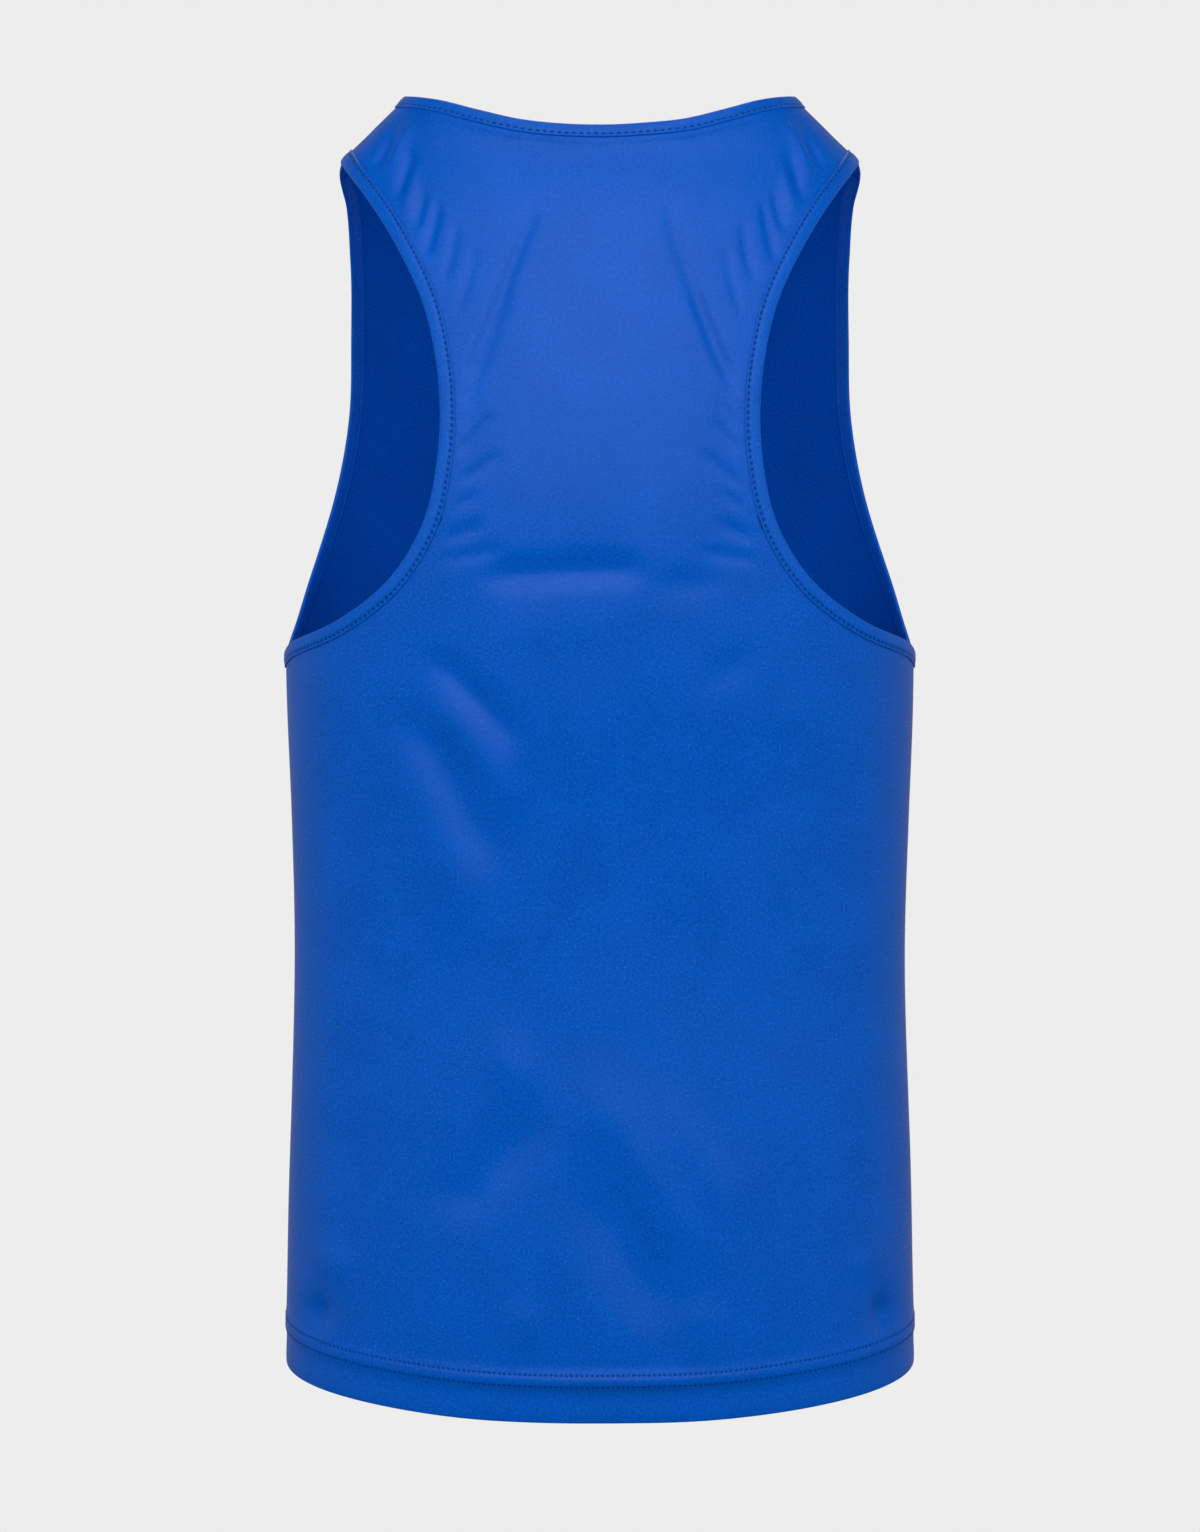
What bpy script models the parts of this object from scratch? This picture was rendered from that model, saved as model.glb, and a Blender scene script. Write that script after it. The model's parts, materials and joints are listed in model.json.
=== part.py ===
"""Boxing vest: a sleeveless knit vest, filled out as it is when it is worn.

It is made of the pieces that a maker cuts: a back with racer-cut armholes, a front with a
deeper neck, and three strips of the same knit that bind the neck and the armholes. The hem
is each panel's own cloth, turned up inside.

+Z is up and the wearer faces +Y, so the back lies towards -Y. Heights are measured from the
high shoulder points, where the wearer's shoulders hold the vest: they are at height 0, and
the origin is midway between them. Angles go round the body, from the centre back (0) past
the side (90) to the centre front (180).
"""

import math

import bmesh
import bpy
import numpy as np

NAME = "boxing_vest"
MM = 0.001

# Driving dimensions, in millimetres.
BACK_LENGTH = 720.0  # high shoulder point to the hem, at the centre back
HEM_SIDE_RISE = 10.0  # how much higher the hem is at the side seams
ARMPIT_LEVEL = -306.0  # lowest point of the armholes
CLOTH = 1.0  # thickness of the knit
SEAM_GAP = 0.3  # between one piece and the next
SHOULDER_GAP = 0.7  # wider, because the bend over the shoulder brings the inner faces closer
BINDING_WIDTH = 8.5
BINDING_ROUND = 1.2  # depth of the binding's rounded fold
RAW_EDGE = 2.0  # the panel's cut edge, in from the binding's fold
HEM_LAYER_GAP = 0.5  # between the two layers of the hem
SQUARENESS = 2.4  # exponent of each level section: 2 is an ellipse

# Level sections of the filled-out form.
FORM_COLUMNS = ("height", "half_width", "behind", "ahead")
FORM = (
    (-750, 181.5, 103, 108),
    (-650, 178.3, 99, 105),
    (-560, 175.2, 94, 102),
    (-475, 172.5, 92, 101),
    (-400, 173.7, 95, 105),
    (-308, 175.8, 104, 112),
    (-200, 170, 111, 110),
    (-130, 163, 107, 95),
    (-80, 155, 97, 78),
    (-57, 150, 89, 69),
    (-38, 144, 79, 60),
    (-20, 127, 66, 50),
    (0, 107, 50, 38),
    (10, 98, 40, 30),
)

# Bound edges, as (angle, height) rows. Each ring passes the shoulder seam at its seam row.
ARMHOLE_BACK = (
    (90, ARMPIT_LEVEL),
    (77.5, -299),
    (62, -284.5),
    (51, -262.5),
    (43.5, -233.5),
    (40, -196),
    (40, -166),
    (45, -120),
    (57, -78),
    (66.5, -57),
    (79, -40),
    (90, -37),
)
ARMHOLE_SEAM = (95, -43)
ARMHOLE_FRONT = (
    (99.5, -53),
    (106, -85),
    (111, -130),
    (113.5, -175),
    (111.5, -221.5),
    (104.5, -267),
    (97.5, -294),
)
NECK_BACK = (
    (0, -22.5),
    (17.5, -21.5),
    (34, -19),
    (49.5, -13),
    (65, -6),
    (79.5, -1.5),
    (90, 0),
)
NECK_SEAM = (97, -2.5)
NECK_FRONT = (
    (110, -19),
    (119.5, -42),
    (131.5, -78),
    (142.5, -110),
    (156, -138),
    (169, -155),
    (180, -160),
)

# Levels of the hem's doubled part: how far each lies above the turned edge, and how far the
# seam's pull and the puff between its two needle rows move it outwards.
HEM_COLUMNS = ("rise", "outward")
HEM_DOUBLE = (
    (11.0, 0.0),
    (18.5, 0.0),
    (21.6, -0.6),
    (24.6, 0.5),
    (27.6, -0.5),
)
HEM_TOP = 34.0  # above the turned edge; from here up the cloth is flat
TURN_STEPS = 4  # in the half circle of cloth that turns under

# Folds: soft ridges (positive) and troughs (negative) between two points. `across` is the
# sideways distance from the centre line, to the wearer's right.
FOLD_COLUMNS = ("across_1", "height_1", "across_2", "height_2", "spread", "lift")
FOLDS_BACK = (
    (-38, -75, -57, -121, 9, -1.2),
    (-57, -121, -73, -160, 8, -1.4),
    (38, -77, 57, -122, 9, -1.1),
    (57, -122, 72, -158, 8, -1.3),
    (-58, -234, -88, -243, 9, -1.6),
    (60, -233, 88, -241, 9, -1.5),
    (-50, -256, 26, -246, 9, -2.4),
    (-54, -271, 32, -262, 11, 2.0),
    (-88, -305, -46, -329, 12, -2.2),
    (-90, -320, -52, -354, 14, 1.8),
    (86, -306, 50, -325, 12, -1.8),
    (88, -322, 56, -350, 14, 1.4),
    (-36, -556, -78, -604, 24, -2.6),
    (20, -588, 52, -643, 24, -2.8),
    (-20, -545, 8, -560, 26, 1.8),
    (60, -640, 84, -662, 24, 2.2),
    (-148, -664, -160, -655, 12, -1.8),
    (147, -665, 159, -657, 12, -1.8),
)
FOLDS_FRONT = (
    (-92, -190, -70, -238, 12, -2.0),
    (90, -196, 64, -250, 13, -2.2),
    (-58, -205, 40, -214, 14, -1.8),
    (-50, -234, 52, -240, 16, 1.6),
    (-118, -322, -70, -352, 16, -2.4),
    (112, -326, 78, -362, 15, -2.0),
    (-30, -470, 34, -500, 28, -2.2),
    (-70, -574, -38, -634, 26, -2.6),
    (46, -560, 82, -612, 24, -2.4),
    (-6, -620, 22, -664, 28, 2.2),
)
FOLD_FADE = 14.0  # the folds die out over this distance either side of the side seams

# Spaces between the mesh's lines, in half a panel. From the centre line out, its columns end on
# the neck, on the shoulder seam across the strap, and on the armhole's low part at the side.
# Its rows above that are the yoke's, which start at the centre line, and the strap's.
SPACE_COLUMNS = ("neck", "across_strap", "side", "yoke", "strap")
BACK_SPACES = dict(zip(SPACE_COLUMNS, (7, 5, 8, 15, 5)))
FRONT_SPACES = dict(zip(SPACE_COLUMNS, (4, 8, 3, 11, 10)))
HEM_TO_YOKE_SPACES = 10

BACK, FRONT = 0.0, 180.0  # each panel's centre line, as an angle

ROYAL_BLUE = (0.002, 0.087, 0.468)
BINDING_BLUE = (0.004, 0.098, 0.480)


# ---------------------------------------------------------------- the form


def hermite(where, knots, values):
    """A smooth curve through the values, read at `where`."""
    slopes = np.gradient(values, knots)
    left = np.clip(np.searchsorted(knots, where) - 1, 0, len(knots) - 2)
    width = knots[left + 1] - knots[left]
    t = (where - knots[left]) / width
    start = (2 * t**3 - 3 * t**2 + 1) * values[left] + (t**3 - 2 * t**2 + t) * width * slopes[left]
    end = (3 * t**2 - 2 * t**3) * values[left + 1] + (t**3 - t**2) * width * slopes[left + 1]
    return start + end


def column(table, columns, name):
    return np.array([row[columns.index(name)] for row in table], float)


def form_size(name, height):
    knots = column(FORM, FORM_COLUMNS, "height")
    return hermite(height, knots, column(FORM, FORM_COLUMNS, name))


def on_form(angle, height):
    """Points on the form, at angles in degrees and heights in millimetres."""
    angle, height = np.broadcast_arrays(np.radians(angle), np.asarray(height, float))
    side, back = np.sin(angle), np.cos(angle)
    depth = np.where(back > 0, form_size("behind", height), form_size("ahead", height))
    across = np.abs(side) / form_size("half_width", height)
    along = np.abs(back) / depth
    radius = (across**SQUARENESS + along**SQUARENESS) ** (-1 / SQUARENESS)
    return np.stack([radius * side, -radius * back, height], axis=-1)


def settle(points):
    """Each point moved level, towards or away from the axis, until it is on the form."""
    angle = np.degrees(np.arctan2(points[..., 0], -points[..., 1]))
    return on_form(angle, points[..., 2])


def unit(vectors):
    return vectors / np.linalg.norm(vectors, axis=-1, keepdims=True)


def form_normal(points):
    """The form's outward normal at points that lie on it."""
    x, y, height = points[..., 0], points[..., 1], points[..., 2]

    def excess(level):
        depth = np.where(y < 0, form_size("behind", level), form_size("ahead", level))
        wide = form_size("half_width", level)
        return (np.abs(x) / wide) ** SQUARENESS + (np.abs(y) / depth) ** SQUARENESS

    depth = np.where(y < 0, form_size("behind", height), form_size("ahead", height))
    wide = form_size("half_width", height)
    power = SQUARENESS - 1
    slope_x = SQUARENESS * np.sign(x) * (np.abs(x) / wide) ** power / wide
    slope_y = SQUARENESS * np.sign(y) * (np.abs(y) / depth) ** power / depth
    slope_z = (excess(height + 0.5) - excess(height - 0.5)) / 1.0
    return unit(np.stack([slope_x, slope_y, slope_z], axis=-1))


# ---------------------------------------------------------------- folds


def smoothstep(t):
    t = np.clip(t, 0, 1)
    return t * t * (3 - 2 * t)


def fold_lift(points, folds):
    """How far the folds move each point outwards."""
    seen = points[..., [0, 2]]
    total = np.zeros(points.shape[:-1])
    for fold in folds:
        value = dict(zip(FOLD_COLUMNS, fold))
        start = np.array([value["across_1"], value["height_1"]], float)
        run = np.array([value["across_2"], value["height_2"]], float) - start
        along = np.clip((seen - start) @ run / (run @ run), 0, 1)
        distance = np.linalg.norm(seen - start - along[..., None] * run, axis=-1)
        total += value["lift"] * np.exp(-((distance / value["spread"]) ** 2))
    return total


def relief(points):
    """The folds' lift, from the back's table behind the side seams and the front's ahead."""
    behind = points[..., 1] < 0
    lift = np.where(behind, fold_lift(points, FOLDS_BACK), fold_lift(points, FOLDS_FRONT))
    return lift * smoothstep(np.abs(points[..., 1]) / FOLD_FADE)


def dressed(points, outward=0.0):
    """Points of the form moved out along its normal, by the folds' lift and `outward`."""
    return points + form_normal(points) * (relief(points) + outward)[..., None]


# ---------------------------------------------------------------- bound edges


def distances_along(points):
    steps = np.linalg.norm(np.diff(points, axis=0), axis=1)
    return np.concatenate([[0.0], np.cumsum(steps)])


def mirrored(points):
    return points * np.array([-1.0, 1.0, 1.0])


def split_edge(knots, seam, back_spaces, front_spaces):
    """Evenly spaced points on a smooth curve through the knots, from the second knot to the
    knot at `seam` and on to the last but one. The end knots only steer the curve."""
    marks = distances_along(knots)
    back = np.linspace(marks[1], marks[seam], back_spaces + 1)
    front = np.linspace(marks[seam], marks[-2], front_spaces + 1)
    where = np.concatenate([back, front[1:]])
    return settle(np.stack([hermite(where, marks, values) for values in knots.T], axis=1))


def armhole_ring():
    """The right armhole's fold line: up the back from the armpit, then down the front."""
    rows = ARMHOLE_BACK + (ARMHOLE_SEAM,) + ARMHOLE_FRONT
    knots = on_form(*np.array(rows, float).T)
    knots = np.concatenate([knots[-1:], knots, knots[:2]])
    counts = [side["side"] + side["yoke"] + side["strap"] for side in (BACK_SPACES, FRONT_SPACES)]
    return split_edge(knots, len(ARMHOLE_BACK) + 1, *counts)[:-1]


def neck_ring():
    """The neck's fold line: from the centre back past the right shoulder and round."""
    rows = NECK_BACK + (NECK_SEAM,) + NECK_FRONT
    knots = on_form(*np.array(rows, float).T)
    knots = np.concatenate([mirrored(knots[1:2]), knots, mirrored(knots[-2:-1])])
    counts = [side["neck"] + side["strap"] for side in (BACK_SPACES, FRONT_SPACES)]
    half = split_edge(knots, len(NECK_BACK) + 1, *counts)
    return np.concatenate([half, mirrored(half[-2:0:-1])])


def into_cloth(ring):
    """Unit vectors over the form from each point of a ring into the cloth, and 1 where that
    is to the left of the ring's direction as seen from outside, or -1."""
    tangent = unit(np.roll(ring, -1, axis=0) - np.roll(ring, 1, axis=0))
    left = unit(np.cross(form_normal(ring), tangent))
    turn = np.sign(np.sum(left * (ring - ring.mean(axis=0))))
    return left * turn, turn


def inset(ring, distance):
    """The ring moved into the cloth, over the form, away from the opening."""
    return settle(ring + into_cloth(ring)[0] * distance)


# ---------------------------------------------------------------- panels


def level_row(centre, spaces, centre_height, side_height):
    """Evenly spaced points from a panel's centre line to the side seam."""
    angle = np.linspace(centre, 90, 361)
    side = np.sin(np.radians(angle)) ** 4
    fine = on_form(angle, centre_height + (side_height - centre_height) * side)
    marks = distances_along(fine)
    where = np.linspace(0, marks[-1], spaces + 1)
    return settle(np.stack([np.interp(where, marks, values) for values in fine.T], axis=1))


def hem_level(centre, spaces, rise):
    return level_row(centre, spaces, rise - BACK_LENGTH, rise - BACK_LENGTH + HEM_SIDE_RISE)


def hem_rows(centre, spaces):
    """The doubled hem: its inner layer down to the turn, and its outer layer up again."""
    radius = CLOTH + HEM_LAYER_GAP / 2
    rises = column(HEM_DOUBLE, HEM_COLUMNS, "rise")
    lifts = column(HEM_DOUBLE, HEM_COLUMNS, "outward")
    turn = np.linspace(0, math.pi, TURN_STEPS + 1)
    rises = np.concatenate([rises[::-1], radius - radius * np.sin(turn), rises])
    outward = np.concatenate([lifts[::-1] - 2 * radius, -radius - radius * np.cos(turn), lifts])
    return np.array([hem_level(centre, spaces, rise) for rise in rises]), outward


def coons(bottom, top, left, right):
    """A patch of points between four edges that meet at their ends."""
    u = np.linspace(0, 1, len(bottom))[None, :, None]
    rises = [distances_along(edge) / distances_along(edge)[-1] for edge in (left, right)]
    v = np.mean(rises, axis=0)[:, None, None]
    between_rows = bottom[None] * (1 - v) + top[None] * v
    between_sides = left[:, None] * (1 - u) + right[:, None] * u
    low = bottom[0] * (1 - u) + bottom[-1] * u
    high = top[0] * (1 - u) + top[-1] * u
    return settle(between_rows + between_sides - low * (1 - v) - high * v)


def straight(start, end, spaces):
    """Points over the form, on the straight way between two points."""
    return settle(start + (end - start) * np.linspace(0, 1, spaces + 1)[:, None])


def bound_edges(centre):
    """A half panel's edges at the armhole and the neck, each as the line under the binding's
    legs and the cut edge. The armhole's run up from the armpit, and the neck's from the
    centre line, both to the shoulder seam."""
    arm, arm_cut = (inset(armhole_ring(), inner) for inner in (BINDING_WIDTH, RAW_EDGE))
    neck, neck_cut = (inset(neck_ring(), inner) for inner in (BINDING_WIDTH, RAW_EDGE))
    seam = BACK_SPACES["neck"] + BACK_SPACES["strap"]
    if centre == BACK:
        spaces = BACK_SPACES
        necks = slice(0, seam + 1)
    else:
        spaces = FRONT_SPACES
        arm, arm_cut = (np.roll(ring[::-1], 1, axis=0) for ring in (arm, arm_cut))
        necks = slice(seam + spaces["neck"] + spaces["strap"], seam - 1, -1)
    arms = slice(0, spaces["side"] + spaces["yoke"] + spaces["strap"] + 1)
    return arm[arms], arm_cut[arms], neck[necks], neck_cut[necks]


def half_panel(centre):
    """The right half of a panel: its three blocks of rows, how far the lowest block's rows
    are moved out, and the cut edges under the bindings."""
    spaces = BACK_SPACES if centre == BACK else FRONT_SPACES
    arm, arm_cut, neck, neck_cut = bound_edges(centre)
    corner, turn = spaces["side"], spaces["neck"]
    strap_foot = corner + spaces["yoke"]
    columns = turn + spaces["across_strap"]

    across = straight(on_form(centre, arm[corner][2]), arm[corner], columns)
    hem, hem_outward = hem_rows(centre, columns + corner)
    hem_top = hem_level(centre, columns + corner, HEM_TOP)
    body_top = np.concatenate([across, arm[:corner][::-1]])
    part = np.linspace(0, 1, HEM_TO_YOKE_SPACES + 1)[:, None, None]
    body = settle(hem_top + (body_top - hem_top) * part)

    strap_row = straight(neck[turn], arm[strap_foot], spaces["across_strap"])
    centre_line = straight(across[0], neck[0], spaces["yoke"])
    yoke_top = np.concatenate([neck[:turn], strap_row])
    yoke = coons(across, yoke_top, centre_line, arm[corner : strap_foot + 1])
    shoulder = straight(neck[-1], arm[-1], spaces["across_strap"])
    strap = coons(strap_row, shoulder, neck[turn:], arm[strap_foot:])

    # Half of each seam's gap comes off this panel.
    facing = -1.0 if centre == BACK else 1.0
    aside = np.array([0, facing * SEAM_GAP / 2, 0])
    over = unit(np.cross(form_normal(shoulder), unit(shoulder[-1] - shoulder[0])))
    over = over * np.sign(over[:, 1:2]) * facing * SHOULDER_GAP / 2
    hem[:, -1] += aside
    body[:, -1] += aside
    arm_cut[0] += aside
    strap[-1] += over
    neck_cut[-1] += over[0]
    arm_cut[-1] += over[-1]
    outward = np.concatenate([hem_outward, np.zeros(len(body))])
    return (np.concatenate([hem, body]), yoke, strap), outward, neck_cut, arm_cut


def numbered(blocks):
    """A grid of point numbers for each block. They run on from one block to the next."""
    shapes = [block.shape[:-1] for block in blocks]
    ends = np.cumsum([math.prod(shape) for shape in shapes])
    return [np.arange(end - math.prod(shape), end).reshape(shape) for shape, end in zip(shapes, ends)]


def quads(first, second):
    """Faces between two lines of point numbers."""
    return list(zip(first, first[1:], second[1:], second))


def turned_over(face):
    """The face facing the other way. Its first corner stays, so it is split as before."""
    return face[:1] + face[:0:-1]


def strip(leg, cut, forward, cut_above):
    """Faces from the line under a binding's legs to the cut edge. Each is split as the
    binding over it is: from the leg to the cut edge at the ring's next station."""
    if forward:
        faces = quads(leg, cut)
    else:
        faces = quads(leg[::-1], cut[::-1])
    return faces if forward == cut_above else [turned_over(face) for face in faces]


def panel_mesh(name, centre):
    """Both halves' outer face, joined along the centre line where they share it."""
    (lower, yoke, strap), outward, neck_cut, arm_cut = half_panel(centre)
    back = centre == BACK
    turn = (BACK_SPACES if back else FRONT_SPACES)["neck"]
    columns = yoke.shape[1]

    # The yoke's first row and the strap's are parts of a row of the block below.
    blocks = (lower, yoke[1:], strap[1:], neck_cut, arm_cut)
    lower_grid, yoke_grid, strap_grid, neck_line, arm_line = numbered(blocks)
    yoke_grid = np.concatenate([lower_grid[-1:, :columns], yoke_grid])
    strap_grid = np.concatenate([yoke_grid[-1:, turn:], strap_grid])
    arm_leg = np.concatenate([lower_grid[-1, columns:][::-1], yoke_grid[:, -1], strap_grid[1:, -1]])
    neck_leg = np.concatenate([yoke_grid[-1, :turn], strap_grid[:, 0]])

    faces = []
    for grid in (lower_grid, yoke_grid, strap_grid):
        for first, second in zip(grid, grid[1:]):
            faces += quads(first, second)
    faces += strip(neck_leg, neck_line, forward=back, cut_above=True)
    faces += strip(arm_leg, arm_line, forward=back, cut_above=False)

    points = np.concatenate([block.reshape(-1, 3) for block in blocks])
    push = np.zeros(len(points))
    push[: lower_grid.size] = np.repeat(outward, lower_grid.shape[1])
    bm = bmesh.new()
    for side in (1, -1):
        verts = [bm.verts.new(point) for point in dressed(points * [side, 1, 1], push) * MM]
        for face in faces:
            order = face if (side == 1) == back else turned_over(face)
            bm.faces.new([verts[number] for number in order])
    bmesh.ops.remove_doubles(bm, verts=bm.verts, dist=1e-6)
    mesh = bpy.data.meshes.new(name)
    bm.to_mesh(mesh)
    bm.free()
    return mesh


# ---------------------------------------------------------------- bindings


def binding_mesh(name, ring, stations):
    """The outer face of a strip that is folded round a cut edge, over the given stations of
    the ring. All of them make a closed ring, and fewer an open one."""
    over = SEAM_GAP + CLOTH
    under = -(CLOTH + SEAM_GAP + CLOTH)
    section = (
        (BINDING_WIDTH, over),
        (BINDING_ROUND, over),
        (0.0, -CLOTH / 2),
        (BINDING_ROUND, under),
        (BINDING_WIDTH, under),
    )
    turn = into_cloth(ring)[1]
    bm = bmesh.new()
    lines = []
    for inner, outward in section:
        points = dressed(inset(ring, inner), outward)[:stations] * MM
        line = [bm.verts.new(point) for point in points]
        lines.append(line + line[:1] if stations == len(ring) else line)
    for number, (first, second) in enumerate(zip(lines, lines[1:])):
        for a, b, c, d in zip(first, second, second[1:], first[1:]):
            # Both legs are split alike, as the panel between them is.
            face = (a, b, c, d) if number < 2 else (b, c, d, a)
            bm.faces.new(face if turn > 0 else turned_over(face))
    mesh = bpy.data.meshes.new(name)
    bm.to_mesh(mesh)
    bm.free()
    return mesh


# ---------------------------------------------------------------- objects


def cloth_material(name, colour):
    material = bpy.data.materials.new(name)
    material.use_nodes = True
    shader = material.node_tree.nodes["Principled BSDF"]
    shader.inputs["Base Color"].default_value = (*colour, 1)
    shader.inputs["Roughness"].default_value = 0.5
    shader.inputs["Metallic"].default_value = 0.0
    material.diffuse_color = (*colour, 1)
    return material


def cloth_object(mesh, colour, collection, mirror=False):
    """An object of the mesh, thickened inwards to the cloth's own thickness."""
    mesh.shade_smooth()
    mesh.materials.append(cloth_material(f"{mesh.name}_knit", colour))
    piece = bpy.data.objects.new(mesh.name, mesh)
    collection.objects.link(piece)
    if mirror:
        other_half = piece.modifiers.new("Other half", "MIRROR")
        other_half.merge_threshold = 1e-6
    shell = piece.modifiers.new("Cloth", "SOLIDIFY")
    shell.thickness = CLOTH * MM
    shell.offset = -1
    shell.use_even_offset = True
    return piece


def main():
    for old in list(bpy.data.objects):
        bpy.data.objects.remove(old)
    vest = bpy.data.collections.new(NAME)
    bpy.context.scene.collection.children.link(vest)

    cloth_object(panel_mesh("back_panel", BACK), ROYAL_BLUE, vest)
    cloth_object(panel_mesh("front_panel", FRONT), ROYAL_BLUE, vest)
    neck = neck_ring()
    half = len(neck) // 2 + 1
    cloth_object(binding_mesh("neck_binding", neck, half), BINDING_BLUE, vest, mirror=True)
    for name, side in (("right", 1), ("left", -1)):
        ring = armhole_ring() * np.array([side, 1, 1])
        mesh = binding_mesh(f"armhole_binding_{name}", ring, len(ring))
        cloth_object(mesh, BINDING_BLUE, vest)


main()
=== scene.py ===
"""Boxing vest: satin knit cloth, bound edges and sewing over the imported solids, in a studio.

Shapes are worked out in millimetres on the filled-out form, as the solids are: heights from
the high shoulder points, and angles round the body from the centre back (0) past the side
(90) to the centre front (180).
"""

import json
import math

import bmesh
import bpy
import numpy as np
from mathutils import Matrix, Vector

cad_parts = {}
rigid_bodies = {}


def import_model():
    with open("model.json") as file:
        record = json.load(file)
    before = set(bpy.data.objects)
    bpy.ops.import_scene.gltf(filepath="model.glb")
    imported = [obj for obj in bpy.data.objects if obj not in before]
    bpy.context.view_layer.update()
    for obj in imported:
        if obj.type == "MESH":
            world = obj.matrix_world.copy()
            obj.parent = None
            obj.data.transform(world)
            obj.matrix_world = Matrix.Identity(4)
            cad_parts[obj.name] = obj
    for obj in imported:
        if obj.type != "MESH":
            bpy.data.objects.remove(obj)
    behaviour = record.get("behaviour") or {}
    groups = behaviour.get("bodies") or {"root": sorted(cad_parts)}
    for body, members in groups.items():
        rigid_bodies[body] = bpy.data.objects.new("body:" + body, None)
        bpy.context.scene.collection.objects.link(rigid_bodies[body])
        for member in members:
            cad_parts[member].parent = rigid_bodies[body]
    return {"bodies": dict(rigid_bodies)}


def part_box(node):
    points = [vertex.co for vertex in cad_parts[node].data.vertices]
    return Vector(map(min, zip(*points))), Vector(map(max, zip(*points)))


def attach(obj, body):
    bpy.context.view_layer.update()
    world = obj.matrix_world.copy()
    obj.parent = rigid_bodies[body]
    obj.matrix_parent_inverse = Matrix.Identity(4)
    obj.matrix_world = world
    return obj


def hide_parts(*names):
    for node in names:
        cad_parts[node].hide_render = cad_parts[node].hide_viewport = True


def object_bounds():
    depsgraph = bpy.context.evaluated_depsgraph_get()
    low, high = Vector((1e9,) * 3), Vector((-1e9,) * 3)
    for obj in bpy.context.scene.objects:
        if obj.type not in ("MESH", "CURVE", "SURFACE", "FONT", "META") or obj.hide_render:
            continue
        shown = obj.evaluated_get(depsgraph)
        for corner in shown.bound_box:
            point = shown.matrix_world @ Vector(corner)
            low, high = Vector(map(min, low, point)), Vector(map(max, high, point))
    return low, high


bl_info = {
    "name": "Boxing vest",
    "version": (1, 0, 0),
    "blender": (4, 5, 0),
    "location": "3D View > Sidebar > Vest",
    "description": "Makes a filled-out boxing vest in satin knit, with its bindings and sewing",
    "category": "Object",
}

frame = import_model()
CAD_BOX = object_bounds()
BODY = next(iter(frame["bodies"]))
MM = 0.001

# The filled-out form: level sections, from the hem up, as height, half width, and how far the
# form reaches behind and ahead of the side seams.
FORM = (
    (-750, 181.5, 103, 108),
    (-650, 178.3, 99, 105),
    (-560, 175.2, 94, 102),
    (-475, 172.5, 92, 101),
    (-400, 173.7, 95, 105),
    (-308, 175.8, 104, 112),
    (-200, 170, 111, 110),
    (-130, 163, 107, 95),
    (-80, 155, 97, 78),
    (-57, 150, 89, 69),
    (-38, 144, 79, 60),
    (-20, 127, 66, 50),
    (0, 107, 50, 38),
    (10, 98, 40, 30),
)
FORM_SIZES = dict(zip(("height", "half_width", "behind", "ahead"), np.array(FORM, float).T))
SQUARENESS = 2.4  # exponent of each level section: 2 is an ellipse
BACK_LENGTH = -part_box("back_panel")[0].z / MM  # high shoulder point to the hem
HEM_SIDE_RISE = 10.0  # how much higher the hem is at the side seams
HEM_SIDE_POWER = 4  # how closely that rise is kept to the side seams

# Bound edges, as (angle, height) rows. Each ring passes the shoulder seam at its seam row.
ARMHOLE_BACK = (
    (90, -306),
    (77.5, -299),
    (62, -284.5),
    (51, -262.5),
    (43.5, -233.5),
    (40, -196),
    (40, -166),
    (45, -120),
    (57, -78),
    (66.5, -57),
    (79, -40),
    (90, -37),
)
ARMHOLE_SEAM = (95, -43)
ARMHOLE_FRONT = (
    (99.5, -53),
    (106, -85),
    (111, -130),
    (113.5, -175),
    (111.5, -221.5),
    (104.5, -267),
    (97.5, -294),
)
NECK_BACK = (
    (0, -22.5),
    (17.5, -21.5),
    (34, -19),
    (49.5, -13),
    (65, -6),
    (79.5, -1.5),
    (90, 0),
)
NECK_SEAM = (97, -2.5)
NECK_FRONT = (
    (110, -19),
    (119.5, -42),
    (131.5, -78),
    (142.5, -110),
    (156, -138),
    (169, -155),
    (180, -160),
)

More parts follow.
